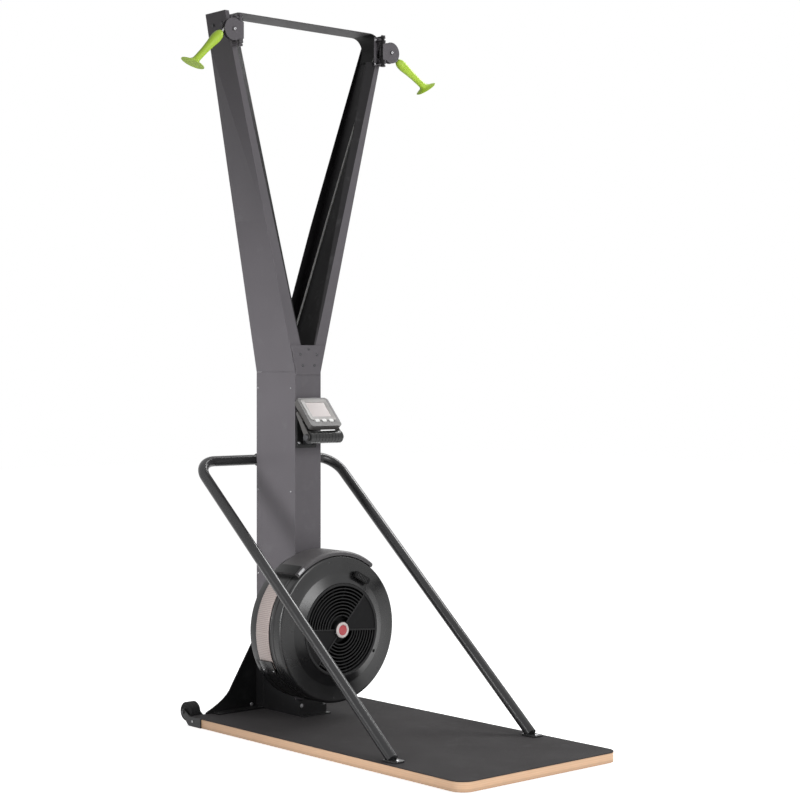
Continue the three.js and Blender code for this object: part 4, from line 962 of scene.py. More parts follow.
@dataclass
class TransportWheels:
    """Wheels and brackets at the rear corners."""

    axle: Place = (0.277, 0.634, 0.041)
    radius: float = 0.029
    width: float = 0.039
    bore: float = 0.0066
    plate_out: float = 0.3043
    bolt: tuple[float, float] = (0.585, 0.019)

    def wheel(self, side: Side) -> None:
        """Turns one wheel with a grooved tread and a stepped hub.

        Args:
            side: the side that it is on.
        """
        half, r = self.width / 2, self.radius
        near = [
            (self.bore, -half), (0.012, -half), (0.0125, 0.002 - half), (0.02, 0.002 - half), (0.021, -half),
            (r - 0.004, -half), (r, 0.004 - half), (r, -0.008), (r - 0.001, -0.007), (r - 0.001, -0.005),
            (r, -0.004),
        ]
        profile = soften(near + [(reach, -y) for reach, y in reversed(near)], 0.0008, 2)
        name = f"wheel_{side.label}"
        piece = along_x(turned(f"rolling_{name}", profile, segments=72), side.at(*self.axle))
        settle(piece, Palette.SOFT, f"{name}_body", name)

    def dress(self) -> None:
        """Makes both wheels, their brackets' finish and their bolts."""
        paint(Palette.BLACK_STEEL, "wheel_bracket_left", "wheel_bracket_right", edge=0.0006)
        for side in Side:
            self.wheel(side)
            for name, spot, size, kind, finish in (
                ("bolt", self.bolt, 3.6, "socket", Palette.STEEL),
                ("nut", self.axle[1:], 5.0, "hex", Palette.DARK_SCREW),
            ):
                Fasteners.row(f"wheel_{name}_{side.label}", facing(side.out, side.at(self.plate_out, *spot)),
                              size, kind, finish)


@dataclass
class Post:
    """Folded post with its rear cover, gussets, brackets and screws."""

    half: float = 0.05
    front: float = 0.405
    rear: float = 0.6
    screw_heights: tuple[float, ...] = (1.029, 0.712, 0.45)
    screw_insets: tuple[float, float] = (0.022, 0.008)
    cover_x: float = 0.038
    cover_heights: tuple[float, ...] = (0.12, 0.45, 0.712, 1.029)
    rivets: tuple[tuple[float, float], ...] = (
        (0.0, 1.148), (-0.032, 1.132), (0.032, 1.132), (-0.023, 1.098), (0.023, 1.098))
    rivet_y: float = 0.4016
    gusset_bolt: Place = (0.073, 0.5953, 0.043)
    boot_bolt: Place = (0.044, 0.3809, 0.063)

    def dress(self) -> None:
        """Paints the folded sheets and sets their fasteners."""
        paint(Palette.GRAPHITE, "post_channel", "post_rear_cover", "yoke_plate", edge=0.0007)
        paint(Palette.BLACK_STEEL, "flare_gusset_left", "flare_gusset_right", "foot_bracket", edge=0.0006)
        depths = (self.front + self.screw_insets[0], self.rear - self.screw_insets[1])
        for side in Side:
            spots = [side.at(self.half + 0.0001, y, z) for z in self.screw_heights for y in depths]
            Fasteners.row(f"post_screws_{side.label}", facing(side.out, *spots), 2.6, "socket", Palette.STEEL)
        rivets = [(x, self.rivet_y, z) for x, z in self.rivets]
        Fasteners.row("yoke_rivets", facing(FRONT, *rivets), 4.2, "rivet", Palette.DARK_SCREW)
        foot = [side.at(*bolt) for bolt in (self.gusset_bolt, self.boot_bolt) for side in Side]
        Fasteners.row("foot_bolts", facing(FRONT, *foot), 4.4, "hex", Palette.STEEL)
        cover = [side.at(self.cover_x, self.rear + 0.0001, z) for side in Side for z in self.cover_heights]
        Fasteners.row("rear_cover_screws", facing(REAR, *cover), 3.2, "socket", Palette.STEEL)


@dataclass
class Arms:
    """Spreading arms and the strap between their tops."""

    bolt_x: float = 0.3052
    bolt_z: float = 2.112
    bolt_depths: tuple[float, float] = (0.43, 0.475)
    lean: float = -0.24

    def dress(self) -> None:
        """Paints the arms and the strap."""
        paint(Palette.GRAPHITE, "arm_left", "arm_right", edge=0.0007)
        paint(Palette.BRIDGE, "top_bridge", edge=0.0005)
        bolts = [(side.at(self.bolt_x, y, self.bolt_z), (side.value, 0, self.lean))
                 for side in Side for y in self.bolt_depths]
        Fasteners.row("bridge_bolts", bolts, 5.0, "hex", Palette.DARK_SCREW)


@dataclass
class SwivelHeads:
    """Swivelling pulley heads on their brackets."""

    pin_x: float = 0.279
    pin_y: float = 0.376
    axle_x: float = 0.307
    axle_z: float = 2.087
    bore: float = 0.0043
    groove: float = 0.018
    rim: float = 0.022
    width: float = 0.01
    cheek: float = 0.0116
    plate_inset: float = 0.011
    plate_y: float = 0.4006
    plate_heights: tuple[float, float] = (2.128, 2.052)

    def pulley(self, side: Side) -> None:
        """Turns one grooved pulley.

        Args:
            side: the side that it is on.
        """
        half = self.width / 2
        profile = [
            (self.bore, -half), (0.009, -half), (0.0095, 0.0008 - half), (0.0165, 0.0008 - half),
            (0.017, -half), (self.rim, -half), (self.rim, 0.0014 - half), (self.groove, -0.0016),
            (self.groove, 0.0016), (self.rim, half - 0.0014), (self.rim, half), (self.bore, half),
        ]
        profile = soften([(radius, self.pin_y + y) for radius, y in profile], 0.0006, 2)
        piece = turned(f"grooved_pulley_{side.label}", profile, (side.value * self.axle_x, self.axle_z),
                       segments=96)
        settle(piece, Palette.INNER, f"pulley_{side.label}", f"head_pulley_{side.label}")

    def dress(self) -> None:
        """Paints the heads and brackets, and makes the pulleys, rollers and bolts."""
        for side in Side:
            label = side.label
            paint(Palette.GRAPHITE, f"swivel_head_{label}", f"head_bracket_{label}", edge=0.0005)
            paint(Palette.INNER, f"arm_roller_{label}", f"neck_roller_{label}", f"cord_drum_{label}")
            self.pulley(side)
            bolt = side.at(self.axle_x, self.pin_y - self.cheek, self.axle_z)
            Fasteners.row(f"head_bolt_{label}", facing(FRONT, bolt), 4.4, "socket", Palette.STEEL,
                          f"head_{label}")
            spots = [side.at(self.pin_x - self.plate_inset, self.plate_y, z) for z in self.plate_heights]
            Fasteners.row(f"bracket_bolts_{label}", facing(FRONT, *spots), 3.4, "socket", Palette.STEEL)


@dataclass(frozen=True)
class Grip:
    """Where one pull handle hangs at rest, with its angles in degrees."""

    nose_x: float
    nose_z: float
    drop: float
    cord_lift: float


@dataclass
class PullHandles:
    """Lime pull handles with a tilted oval flange, and the cords that carry them."""

    left: Grip = Grip(0.347, 2.075, 45.5, 45)
    right: Grip = Grip(0.338, 2.066, 31.5, 10)
    tilt: float = 24
    y: float = 0.376
    cord: float = 0.003
    cord_run: float = 0.0213
    sides: int = 64
    # Each round section's distance from the nose and its radius.
    stem: tuple[tuple[float, float], ...] = (
        (0.0, 0.006), (0.0007, 0.0074), (0.003, 0.0092), (0.0065, 0.0109), (0.0115, 0.0135), (0.0187, 0.015),
        (0.0274, 0.0154), (0.039, 0.0147), (0.0605, 0.0124), (0.0864, 0.0108), (0.11, 0.0104))
    # Each flange section's distance from the nose, its two radii and its share of the tilt.
    flange: tuple[tuple[float, float, float, float], ...] = (
        (0.122, 0.0104, 0.0104, 0.05), (0.1285, 0.0112, 0.011, 0.3), (0.1325, 0.0138, 0.0124, 0.6),
        (0.1358, 0.0178, 0.0144, 0.85), (0.1384, 0.0235, 0.0176, 0.97), (0.1408, 0.03, 0.0215, 1.0),
        (0.1428, 0.0346, 0.0241, 1.0), (0.144, 0.0376, 0.0261, 1.0), (0.1447, 0.0386, 0.0268, 1.0),
        (0.1455, 0.0385, 0.0267, 1.0), (0.1459, 0.0377, 0.026, 1.0), (0.1459, 0.03, 0.02, 1.0),
        (0.1459, 0.012, 0.008, 1.0))

    def handle(self, side: Side, grip: Grip) -> None:
        """Skins one handle.

        Args:
            side: the side that it is on.
            grip: where it hangs.
        """
        place = (Matrix.Translation((grip.nose_x, self.y, grip.nose_z))
                 @ Matrix.Rotation(math.radians(grip.drop), 4, "Y"))
        rings = []
        for run, tall, wide, share in [(run, r, r, 0.0) for run, r in self.stem] + list(self.flange):
            lean = Matrix.Rotation(math.radians(self.tilt) * share, 4, "Y")
            ring = []
            for k in range(self.sides):
                t = math.tau * k / self.sides
                point = Vector((run, 0, 0)) + lean @ Vector((0, wide * math.cos(t), tall * math.sin(t)))
                ring.append(side.at(*(place @ point)))
            rings.append(ring)
        piece = skinned(f"pull_grip_{side.label}", rings)
        settle(piece, Palette.LIME, f"grip_{side.label}", f"handle_{side.label}")

    def stub(self, side: Side, grip: Grip) -> None:
        """Sweeps the cord between a head and its handle where it hangs at rest; the real cord lengthens as
        the handle is pulled.

        Args:
            side: the side that it is on.
            grip: where the handle hangs.
        """
        heads, lift, drop = SwivelHeads(), math.radians(grip.cord_lift), math.radians(grip.drop)
        start = Vector((heads.axle_x + self.cord_run * math.cos(lift), self.y,
                        heads.axle_z + self.cord_run * math.sin(lift)))
        along = Vector((math.cos(drop), 0, -math.sin(drop)))
        last = Vector((grip.nose_x, self.y, grip.nose_z)) - along * 0.0003
        knee = last - along * self.cord
        path = [start.lerp(knee, k / 10) for k in range(11)] + [knee.lerp(last, k / 3) for k in (1, 2, 3)]
        path = [side.at(*p) for p in path]
        piece = swept(f"pull_cord_{side.label}", path, self.cord * CORD_SHARE)
        piece.data.materials.append(Palette.CORD.material())
        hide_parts(f"handle_cord_{side.label}")
        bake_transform(piece)

    def dress(self) -> None:
        """Makes both handles and their cords."""
        for side, grip in ((Side.LEFT, self.left), (Side.RIGHT, self.right)):
            self.handle(side, grip)
            self.stub(side, grip)


@dataclass
class DriveCords:
    """Braided cords from the arm rollers to the drums, and the return bungee in the post."""

    radius: float = 0.003
    gap: float = 0.0003
    roller: Place = (0.282956, 0.405, 2.085)
    roller_groove: float = 0.01
    roller_front: float = 0.017
    neck: tuple[float, float] = (0.025, 1.04)
    neck_groove: float = 0.012
    drum_radius: float = 0.02
    fan_z: float = 0.304
    depths: tuple[float, float] = (0.424, 0.56)
    bungee_top: float = 0.94
    bungee_bend: float = 0.014

    def reach(self, radius: float) -> float:
        """Gives how far a cord's centre line lies from the axis of what carries it."""
        return radius + self.radius + self.gap

    def corner(self, run: float, reach: float) -> tuple[float, float]:
        """Finds where a cord's two straight runs meet, so that its bend follows the neck roller.

        Args:
            run: the lower run's distance from the drum's axis.
            reach: the bend's radius, which is the groove's and the cord's.

        Returns:
            The meeting point's x and z.
        """
        wide, high = self.roller[0] - self.neck[0], self.roller[2] - self.neck[1]
        lean = math.atan2(wide, high) + math.asin(reach / math.hypot(wide, high))
        drop = math.atan2(run + reach - self.neck[0], self.neck[1] - self.fan_z)
        out, turn = reach / math.cos((lean + drop) / 2), (lean - drop) / 2
        return self.neck[0] - out * math.cos(turn), self.neck[1] + out * math.sin(turn)

    def route(self, y: float) -> list[Vector]:
        """Follows one cord from the head to the drum.

        Args:
            y: the depth of its run inside the post.

        Returns:
            The path on the right side.
        """
        run, reach, below = (self.reach(r) for r in (self.roller_groove, self.neck_groove, self.drum_radius))
        neck_x, neck_z = self.corner(below, reach)
        x, depth, z = self.roller
        lean = math.atan2(x - neck_x, z - neck_z)
        top_x, top_z = x + run * math.sin(lean), z + run * math.cos(lean)
        slope = math.atan2(y - depth - run, z - neck_z)
        back = depth + run / math.tan(math.pi / 4 + slope / 2)
        knee = Vector((neck_x, y, neck_z))
        head = bent([Vector((top_x, depth - self.roller_front, top_z)), Vector((top_x, back, top_z)), knee],
                    run, 12)
        head.pop()
        return head + bent([head[-1], knee, Vector((below, y, self.fan_z))], reach, 6)[1:]

    def dress(self) -> None:
        """Sweeps both cords and the bungee."""
        for side, y in zip(Side, self.depths):
            path = [side.at(*p) for p in self.route(y)]
            piece = swept(f"braided_run_{side.label}", path, self.radius * CORD_SHARE)
            settle(piece, Palette.CORD, "frame", f"drive_cord_{side.label}")
        x, low, top, (front, rear) = self.reach(self.drum_radius), self.fan_z, self.bungee_top, self.depths
        corners = [Vector(p) for p in ((x, front, low), (x, front, top), (-x, rear, top), (-x, rear, low))]
        loop = swept("bungee_loop", bent(corners, self.bungee_bend, 10), self.radius * CORD_SHARE)
        settle(loop, Palette.BUNGEE, "frame", "return_bungee")


@dataclass
class FanHousing:
    """Air fan: shells, front ring, ring grille, damper, cage bands and top cover."""

    axis: tuple[float, float] = (0.0, 0.304)
    radius: float = 0.221
    wall: float = 0.003
    front: float = 0.2595
    side_y: float = 0.301
    cage_rear: float = 0.372
    rear: float = 0.4047
    shoulder: float = 0.009
    annulus: float = 0.169
    grille: float = 0.138
    grille_y: float = 0.243
    hub: float = 0.026
    bore: float = 0.0173
    seat: Place = (0.241, 0.2497, 0.268)
    cap: float = 0.0235
    cap_y: float = 0.236
    spokes: tuple[float, ...] = (48.0, 176.0, 228.0, 356.0)
    ring_count: int = 9
    ring_first: float = 0.044
    ring_pitch: float = 0.01
    ring_bar: tuple[float, float] = (0.003, 0.0042)
    ring_drop: float = 0.0029
    gap: float = 0.0003
    band: tuple[float, float] = (-26.0, 38.0)
    band_depth: tuple[float, float] = (0.3113, 0.3717)
    band_wall: float = 0.002
    cover: tuple[float, float] = (53.0, 132.0)
    cover_radius: float = 0.236
    cover_front: float = 0.262
    lever_angle: float = 61.0
    lever_radius: float = 0.172
    lever_front: float = 0.2448
    rib_count: int = 7
    rib_pitch: float = 0.0062
    rib_half: tuple[float, float] = (0.001, 0.007)
    ring_screws: tuple[int, ...] = (20, 100, 140, 200, 265, 320)
    ring_screw_radius: float = 0.205
    cone_screw: tuple[float, float] = (-30.0, 0.152)
    clamp_screws: tuple[float, float] = (0.318, 0.364)
    clamp_angle: float = -29.5

    @property
    def rise(self) -> float:
        """How far the cone falls back for each metre of radius."""
        return (self.front - self.grille_y) / (self.annulus - self.grille)

    def polar(self, angle: float, radius: float, y: float) -> Vector:
        """Gives the place at an angle in degrees and a radius about the fan's axis."""
        t = math.radians(angle)
        return Vector((self.axis[0] + radius * math.cos(t), y, self.axis[1] + radius * math.sin(t)))

    def mirrored(self, side: Side, start: float, end: float) -> tuple[float, float]:
        """Gives an arc on the right side, or its mirror image on the left."""
        return (start, end) if side is Side.RIGHT else (180 - end, 180 - start)

    def turn(self, name: str, profile: Points, finish: Finish, *nodes: str,
             edge: tuple[float, int] | None = None, arc: tuple[float, float] = (0.0, 360.0),
             segments: int = 144) -> None:
        """Turns a profile about the fan's axis and settles it on the frame.

        Args:
            name: the piece's name.
            profile: points of (radius, y).
            finish: its finish.
            *nodes: the CAD nodes that it replaces.
            edge: the rounding's radius and steps, or None for none.
            arc: first and last angle in degrees.
            segments: steps in a full turn.
        """
        if edge:
            profile = soften(profile, *edge)
        settle(turned(name, profile, self.axis, *arc, segments), finish, "frame", *nodes)

    def shells(self) -> None:
        """Turns the back and middle shells with a stepped seam and rolled edges."""
        r, rim, near = self.radius, self.radius - self.wall, self.side_y + self.gap
        floor, far, seam = self.rear - self.wall, self.cage_rear, self.cage_rear + self.gap
        back = [(self.bore, self.rear), (self.bore, floor), (rim, floor), (rim, seam), (r, seam),
                (r, self.rear)]
        self.turn("rear_housing", back, Palette.HOUSING, "fan_back_shell", edge=(0.0022, 3))
        middle = [
            (rim, far), (rim, near), (r - 0.0015, near), (r - 0.0015, near + 0.005), (r, near + 0.0062),
            (r, far - 0.0045), (r - 0.0012, far - 0.003), (r - 0.0012, far),
        ]
        self.turn("middle_housing", middle, Palette.HOUSING, "fan_middle_shell", edge=(0.0008, 2))

    def front_ring(self) -> None:
        """Turns the front ring: a rolled shoulder, a flat ring and a cone up to the grille."""
        r, rim, y, edge, side = self.radius, self.radius - self.wall, self.front, self.shoulder, self.side_y
        lip, grille, annulus = self.grille + 0.002, self.grille_y, self.annulus
        profile = [
            (r, side), (r, side - 0.006), (r - 0.0018, side - 0.0075), (r - 0.0018, side - 0.0115),
            (r, side - 0.013),
        ]
        for step in range(9):
            t = QUARTER * step / 8
            profile.append((r - edge + edge * math.cos(t), y + edge - edge * math.sin(t)))
        profile += [
            (annulus + 0.0012, y), (annulus - 0.0008, y - 0.0008), (lip + 0.001, grille + 0.0014),
            (lip, grille + 0.0022), (lip, grille + 0.0042), (annulus - 0.001, y + self.wall),
            (rim - edge, y + self.wall), (rim, y + self.wall + edge), (rim, side),
        ]
        self.turn("front_ring", profile, Palette.HOUSING, "front_shroud", segments=192)

    def grille_face(self) -> None:
        """Draws the grille: rim, ring arcs, blank panels, spokes and the hub seat."""
        y, rim_in, rim_out = self.grille_y, self.grille - 0.006, self.grille + 0.01
        rim = [
            (rim_in, y), (self.grille + 0.0016, y), (self.grille + 0.0016, y + 0.005), (rim_out, y + 0.0102),
            (rim_out, y + 0.0132), (rim_in, y + 0.0132),
        ]
        self.turn("grille_rim", rim, Palette.GRILLE, "fan_grille", edge=(0.001, 3), segments=192)
        near, floor, far = self.seat
        seat = [(0.0, near), (self.hub, near), (self.hub, far), (self.bore, far), (self.bore, floor),
                (0.0, floor)]
        self.turn("hub_seat", seat, Palette.GRILLE, edge=(0.001, 2), segments=72)
        first, second, third, fourth = self.spokes
        for label, start, end in (("upper", first, second), ("lower", third, fourth)):
            self.arcs(label, start, end)
        for label, arc in (("left", (second, third)), ("right", (fourth - 360, first))):
            panel = oblong(self.hub - 0.001, rim_in + 0.001, y + 0.0025, y + 0.005)
            self.turn(f"blank_panel_{label}", panel, Palette.INNER, arc=arc)
        bar = oblong(self.hub - 0.002, rim_in + 0.001, -0.002, 0.002)
        for index, angle in enumerate(self.spokes):
            place = (Matrix.Translation((self.axis[0], y + 0.005, self.axis[1]))
                     @ Matrix.Rotation(-math.radians(angle), 4, "Y") @ Matrix.Rotation(QUARTER, 4, "X"))
            spoke = plate(f"grille_spoke_{index + 1}", bar, 0.0, 0.005, place, 0.0007)
            settle(spoke, Palette.GRILLE, "frame")

    def arcs(self, label: str, start: float, end: float) -> None:
        """Repeats the ring arcs between two spokes.

        Args:
            label: the word for the sector in the piece's name.
            start: the first spoke's angle in degrees.
            end: the second spoke's angle in degrees.
        """
        values = {
            "Count": self.ring_count, "First": self.ring_first, "Pitch": self.ring_pitch,
            "Start": math.radians(start), "Sweep": math.radians(end - start),
            "Width": self.ring_bar[0], "Depth": self.ring_bar[1],
        }
        kinds = {name: "Int" if name == "Count" else "Float" for name in values}
        piece = Repeats.apply(f"grille_arcs_{label}", bpy.data.meshes.new("arc_points"),
                              Repeats.tree("GrilleRings", kinds, Repeats.rings),
                              {**values, "Material": Palette.GRILLE.material()})
        piece.data.transform(Matrix.Translation((self.axis[0], self.grille_y + self.ring_drop, self.axis[1])))
        settle(piece, Palette.GRILLE, "frame")

    def hub_cap(self) -> None:
        """Turns the red hub centre with its pale ring."""
        y, cap = self.cap_y, self.cap
        ring = [(0.0155, y + 0.0008), (0.0165, y), (cap - 0.002, y), (cap, y + 0.002), (cap, y + 0.0047),
                (0.0155, y + 0.0047)]
        self.turn("hub_cap_ring", ring, Palette.PALE, "hub_cap", edge=(0.0005, 2), segments=72)
        centre = [(0.0, y + 0.0002), (0.012, y + 0.0004), (0.0153, y + 0.0012), (0.0153, y + 0.0045),
                  (0.0, y + 0.0045)]
        self.turn("hub_cap_centre", centre, Palette.RED, segments=72)

    def cages(self) -> None:
        """Turns the perforated side bands and the clamps at their lower ends."""
        inner = self.radius + self.gap * 3
        near = inner + self.band_wall + 0.0001
        for side in Side:
            arc = self.mirrored(side, self.band[0] - 2, self.band[1] + 2)
            self.turn(f"vent_band_{side.label}", oblong(inner, inner + self.band_wall, *self.band_depth),
                      Palette.BAND, f"cage_band_{side.label}", edge=(0.0006, 2), arc=arc)
            arc = self.mirrored(side, self.band[0] - 6, self.band[0] + 4.5)
            self.turn(f"band_clamp_{side.label}", oblong(near, near + 0.0045, *self.band_depth),
                      Palette.HOUSING, edge=(0.0012, 2), arc=arc)

    def top_cover(self) -> None:
        """Turns the top cover with its end walls, and the clip and latch at its left end."""
        inner, outer, under = self.radius + self.gap * 2, self.cover_radius, self.cover_radius - self.wall
        front, rear, (first, last) = self.cover_front, self.cage_rear, self.cover
        near, far = front + self.wall, rear - self.wall
        hood = [
            (outer, front + 0.006), (outer, rear - 0.004), (outer - 0.004, rear), (inner, rear), (inner, far),
            (under - 0.003, far), (under, far - 0.003), (under, front + 0.008), (under - 0.003, near),
            (inner, near), (inner, front), (outer - 0.006, front),
        ]
        self.turn("top_hood", hood, Palette.HOOD, "fan_top_cover", edge=(0.0015, 3), arc=self.cover)
        wall = oblong(inner, outer - 0.0035, near + 0.0001, far - 0.0001)
        for index, start in enumerate((first, last - 0.73)):
            self.turn(f"hood_end_{index + 1}", wall, Palette.HOUSING, arc=(start + 0.02, start + 0.7))
        clip = oblong(outer + 0.0001, outer + 0.0022, front + 0.008, rear - 0.002)
        self.turn("hood_clip", clip, Palette.GRILLE, edge=(0.0008, 2), arc=(last - 8.5, last - 0.1))
        latch = oblong(outer - 0.0085, outer - 0.0005, front - 0.0046, front - 0.0002)
        self.turn("hood_latch", latch, Palette.STEEL, edge=(0.0014, 3), arc=(last - 7.6, last - 1.2))

    def damper(self) -> None:
        """Paints the damper, impeller and shaft, and ribs the lever's pad."""
        paint(Palette.INNER, "damper", "impeller")
        paint(Palette.STEEL, "fan_shaft", "bearing_front", "bearing_rear")
        place = (Matrix.Translation((self.axis[0], 0.0, self.axis[1]))
                 @ Matrix.Rotation(-math.radians(self.lever_angle - 90), 4, "Y")
                 @ Matrix.Translation((0.0, self.lever_front, self.lever_radius))
                 @ Matrix.Rotation(QUARTER, 4, "X"))
        wide, tall = self.rib_half
        for index in range(self.rib_count):
            x = (index - self.rib_count // 2) * self.rib_pitch
            outline = soften(oblong(x - wide, x + wide, -tall, tall), 0.0006, 2)
            rib = plate(f"lever_rib_{index + 1}", outline, -0.0005, 0.0008, place, 0.0002)
            settle(rib, Palette.HOUSING, "damper_body")

    def screws(self) -> None:
        """Sets the screws of the front ring, the cone and the bands' clamps, and draws the cone's seam."""
        ring = [self.polar(angle, self.ring_screw_radius, self.front + 0.0001) for angle in self.ring_screws]
        Fasteners.row("ring_screws", facing(FRONT, *ring), 2.2, "socket", Palette.DARK_SCREW)
        angle, radius = self.cone_screw
        t = math.radians(angle)
        lean = Vector((math.cos(t) * self.rise, -1.0, math.sin(t) * self.rise))
        spot = self.polar(angle, radius, self.grille_y + self.rise * (radius - self.grille) - 0.0001)
        Fasteners.row("cone_screw", facing(lean, spot), 5.0, "socket", Palette.INNER)
        seam = [self.polar(self.spokes[0], radius, y) for radius, y in (
            (self.grille + 0.003, self.grille_y + self.rise * 0.003), (self.annulus, self.front),
            (self.annulus + 0.008, self.front))]
        settle(swept("cone_seam", seam, 0.0013, 12), Palette.HOOD, "frame")
        clamps, reach = [], self.radius + self.gap * 3 + 0.0066
        for side in Side:
            angle = self.mirrored(side, self.clamp_angle, self.clamp_angle)[0]
            way = self.polar(angle, 1.0, 0.0) - self.polar(angle, 0.0, 0.0)
            clamps += facing(way, *(self.polar(angle, reach, y) for y in self.clamp_screws))
        Fasteners.row("clamp_screws", clamps, 2.6, "socket", Palette.STEEL)

    def dress(self) -> None:
        """Makes the whole fan."""
        for make in (self.shells, self.front_ring, self.grille_face, self.hub_cap, self.cages, self.top_cover,
                     self.damper, self.screws):
            make()


@dataclass
class HandRail:
    """Bent hand rail, its foot tabs, strap and bolts."""

    radius: float = 0.016
    top_z: float = 0.803
    half: float = 0.27
    bend: float = 0.07
    foot: tuple[float, float] = (0.265, -0.292)
    tab: Place = (0.02, 0.056, 0.046)
    tab_z: tuple[float, float] = (0.0323, 0.0373)
    rear: float = 0.6
    ear: tuple[float, float] = (0.026, 0.028)

    def rail(self) -> None:
        """Sweeps the rail and cuts it level just inside its tabs."""
        below = Vector((*self.foot, self.tab_z[1]))
        top = Vector((self.half, self.rear + 0.0006 + self.radius, self.top_z))
        low = below + (top - below).normalized() * 0.001
        path = bent([low, top, Side.LEFT.at(*top), Side.LEFT.at(*low)], self.bend, 20)
        piece = swept("bent_rail", path, self.radius, 40)
        work = bmesh.new()
        work.from_mesh(piece.data)
        cut = bmesh.ops.bisect_plane(work, geom=work.verts[:] + work.edges[:] + work.faces[:],
                                     plane_co=(0, 0, self.tab_z[1] - 0.001), plane_no=UP, clear_inner=True)
        bmesh.ops.holes_fill(work, edges=[e for e in cut["geom_cut"] if isinstance(e, bmesh.types.BMEdge)])
        work.to_mesh(piece.data)
        work.free()
        settle(piece, Palette.RAIL, "frame", "handrail")

    def dress(self) -> None:
        """Makes the rail and sets the tabs and bolts."""
        self.rail()
        half, depth, inset = self.tab
        rear, top = self.foot[1] + self.radius * 1.5, self.tab_z[1]
        for side in Side:
            x = side.value * self.foot[0]
            outline = soften(oblong(x - half, x + half, rear - depth, rear), 0.012, 6)
            tab = plate(f"rail_foot_{side.label}", outline, *self.tab_z, Matrix.Identity(4), 0.0008)
            settle(tab, Palette.RAIL, "frame")
            bolt = facing(UP, (x, rear - inset, top))
            Fasteners.row(f"rail_bolt_{side.label}", bolt, 4.6, "hex", Palette.STEEL)
        paint(Palette.BLACK_STEEL, "rail_strap", edge=0.0004)
        ears = [(x * self.ear[0], self.rear + 0.0033, self.top_z + z * self.ear[1])
                for x in (-1, 1) for z in (-1, 1)]
        Fasteners.row("strap_bolts", facing(REAR, *ears), 3.6, "socket", Palette.STEEL)


@dataclass
class Monitor:
    """Monitor on its yoke, with the battery tube and mount plate."""

    tilt: float = math.radians(47.5)
    top: tuple[float, float] = (0.388, 0.999)
    screen: tuple[float, float] = (0.072, 0.056)
    screen_drop: float = 0.02
    bezel_size: tuple[float, float] = (0.1, 0.084)
    bezel_drop: float = 0.049
    key_size: tuple[float, float] = (0.017, 0.011)
    key_drop: float = 0.092
    key_pitch: float = 0.027
    tube: tuple[float, float] = (0.327, 0.881)
    tube_radius: float = 0.019
    tube_half: float = 0.062
    grip_rings: int = 9
    grip_pitch: float = 0.0124
    mount_x: tuple[float, float] = (-0.037, 0.022)
    mount_y: float = 0.4017
    mount_z: tuple[float, float] = (0.862, 0.962)

    def face(self) -> Matrix:
        """Works out the frame of the monitor's face.

        Returns:
            The frame, with its origin at the middle of the top edge.
        """
        up = Vector((0, math.cos(self.tilt), math.sin(self.tilt)))
        out = Vector((0, -math.sin(self.tilt), math.cos(self.tilt)))
        turn = Matrix((Vector((1, 0, 0)), up, out)).transposed().to_4x4()
        return Matrix.Translation((0, *self.top)) @ turn

    def box(self, x: float, y: float, width: float, height: float, corner: float) -> Points:
        """Gives a rectangle with round corners about (x, y)."""
        return soften(oblong(x - width / 2, x + width / 2, y - height / 2, y + height / 2), corner, 6)

    def bezel(self) -> None:
        """Frames the screen with a raised pale bezel."""
        wide, high = self.screen
        inner = self.box(0, -self.screen_drop - high / 2, wide + 0.0012, high + 0.0012, 0.002)
        outer = self.box(0, -self.bezel_drop, *self.bezel_size, 0.009)
        place = self.face()
        rings = [[tuple(place @ Vector((x, y, z))) for x, y in outline]
                 for outline, z in ((inner, -0.0022), (inner, 0.0004), (outer, 0.0009), (outer, 0.0001))]
        settle(skinned("screen_bezel", rings, closed=True), Palette.BEZEL, "monitor")

    def battery_tube(self) -> None:
        """Turns the tube with its grip rings, its knobs and its pins."""
        r, half, (y, z) = self.tube_radius, self.tube_half, self.tube
        body = [(0.0, -half), (r - 0.0015, -half), (r, 0.0015 - half)]
        for index in range(self.grip_rings):
            start = 0.006 - half + index * self.grip_pitch
            body += [(r, start), (r, start + 0.0112), (r - 0.0008, start + 0.0115),
                     (r - 0.0008, start + 0.0121)]
        body += [(r, half - 0.0015), (r - 0.0015, half), (0.0, half)]
        tube = along_x(turned("battery_barrel", body, segments=64), (0, y, z))
        settle(tube, Palette.HOUSING, "frame", "battery_tube")
        knob_face = [(0.0, 0.0), (0.0085, 0.0), (0.01, 0.0015), (0.01, 0.008), (0.0, 0.008)]
        for side, reach, depth in ((Side.LEFT, 0.0742, 1.0), (Side.RIGHT, 0.0702, 0.5)):
            knob = turned(f"pivot_knob_{side.label}", soften(knob_face, 0.0006, 2), segments=48)
            along_x(knob, side.at(reach, y, z), side.value * QUARTER, depth)
            smooth(knob.data)
            settle(knob, Palette.DARK_SCREW, "frame")
            pin = turned(f"pivot_pin_{side.label}", oblong(0.0, 0.005, half - 0.001, 0.0665), segments=32)
            settle(along_x(pin, (0, y, z), -side.value * QUARTER), Palette.STEEL, "frame")

    def dress(self) -> None:
        """Paints the monitor and adds its bezel, keys, tube and bolts."""
        paint(Palette.CASE, "monitor_case", "monitor_yoke", edge=0.0012)
        paint(Palette.GLASS, "monitor_screen")
        paint(Palette.BLACK_STEEL, "monitor_bracket", edge=0.0005)
        self.bezel()
        for index in range(3):
            outline = self.box((index - 1) * self.key_pitch, -self.key_drop, *self.key_size, 0.0052)
            key = plate(f"key_cap_{index + 1}", outline, -0.0044, 0.0016, self.face(), 0.0009)
            settle(key, Palette.KEYS, f"button_{index + 1}", f"monitor_button_{index + 1}")
        self.battery_tube()
        bolts = [(x, self.mount_y, z) for z in self.mount_z for x in self.mount_x]
        Fasteners.row("mount_bolts", facing(FRONT, *bolts), 3.6, "socket", Palette.STEEL)


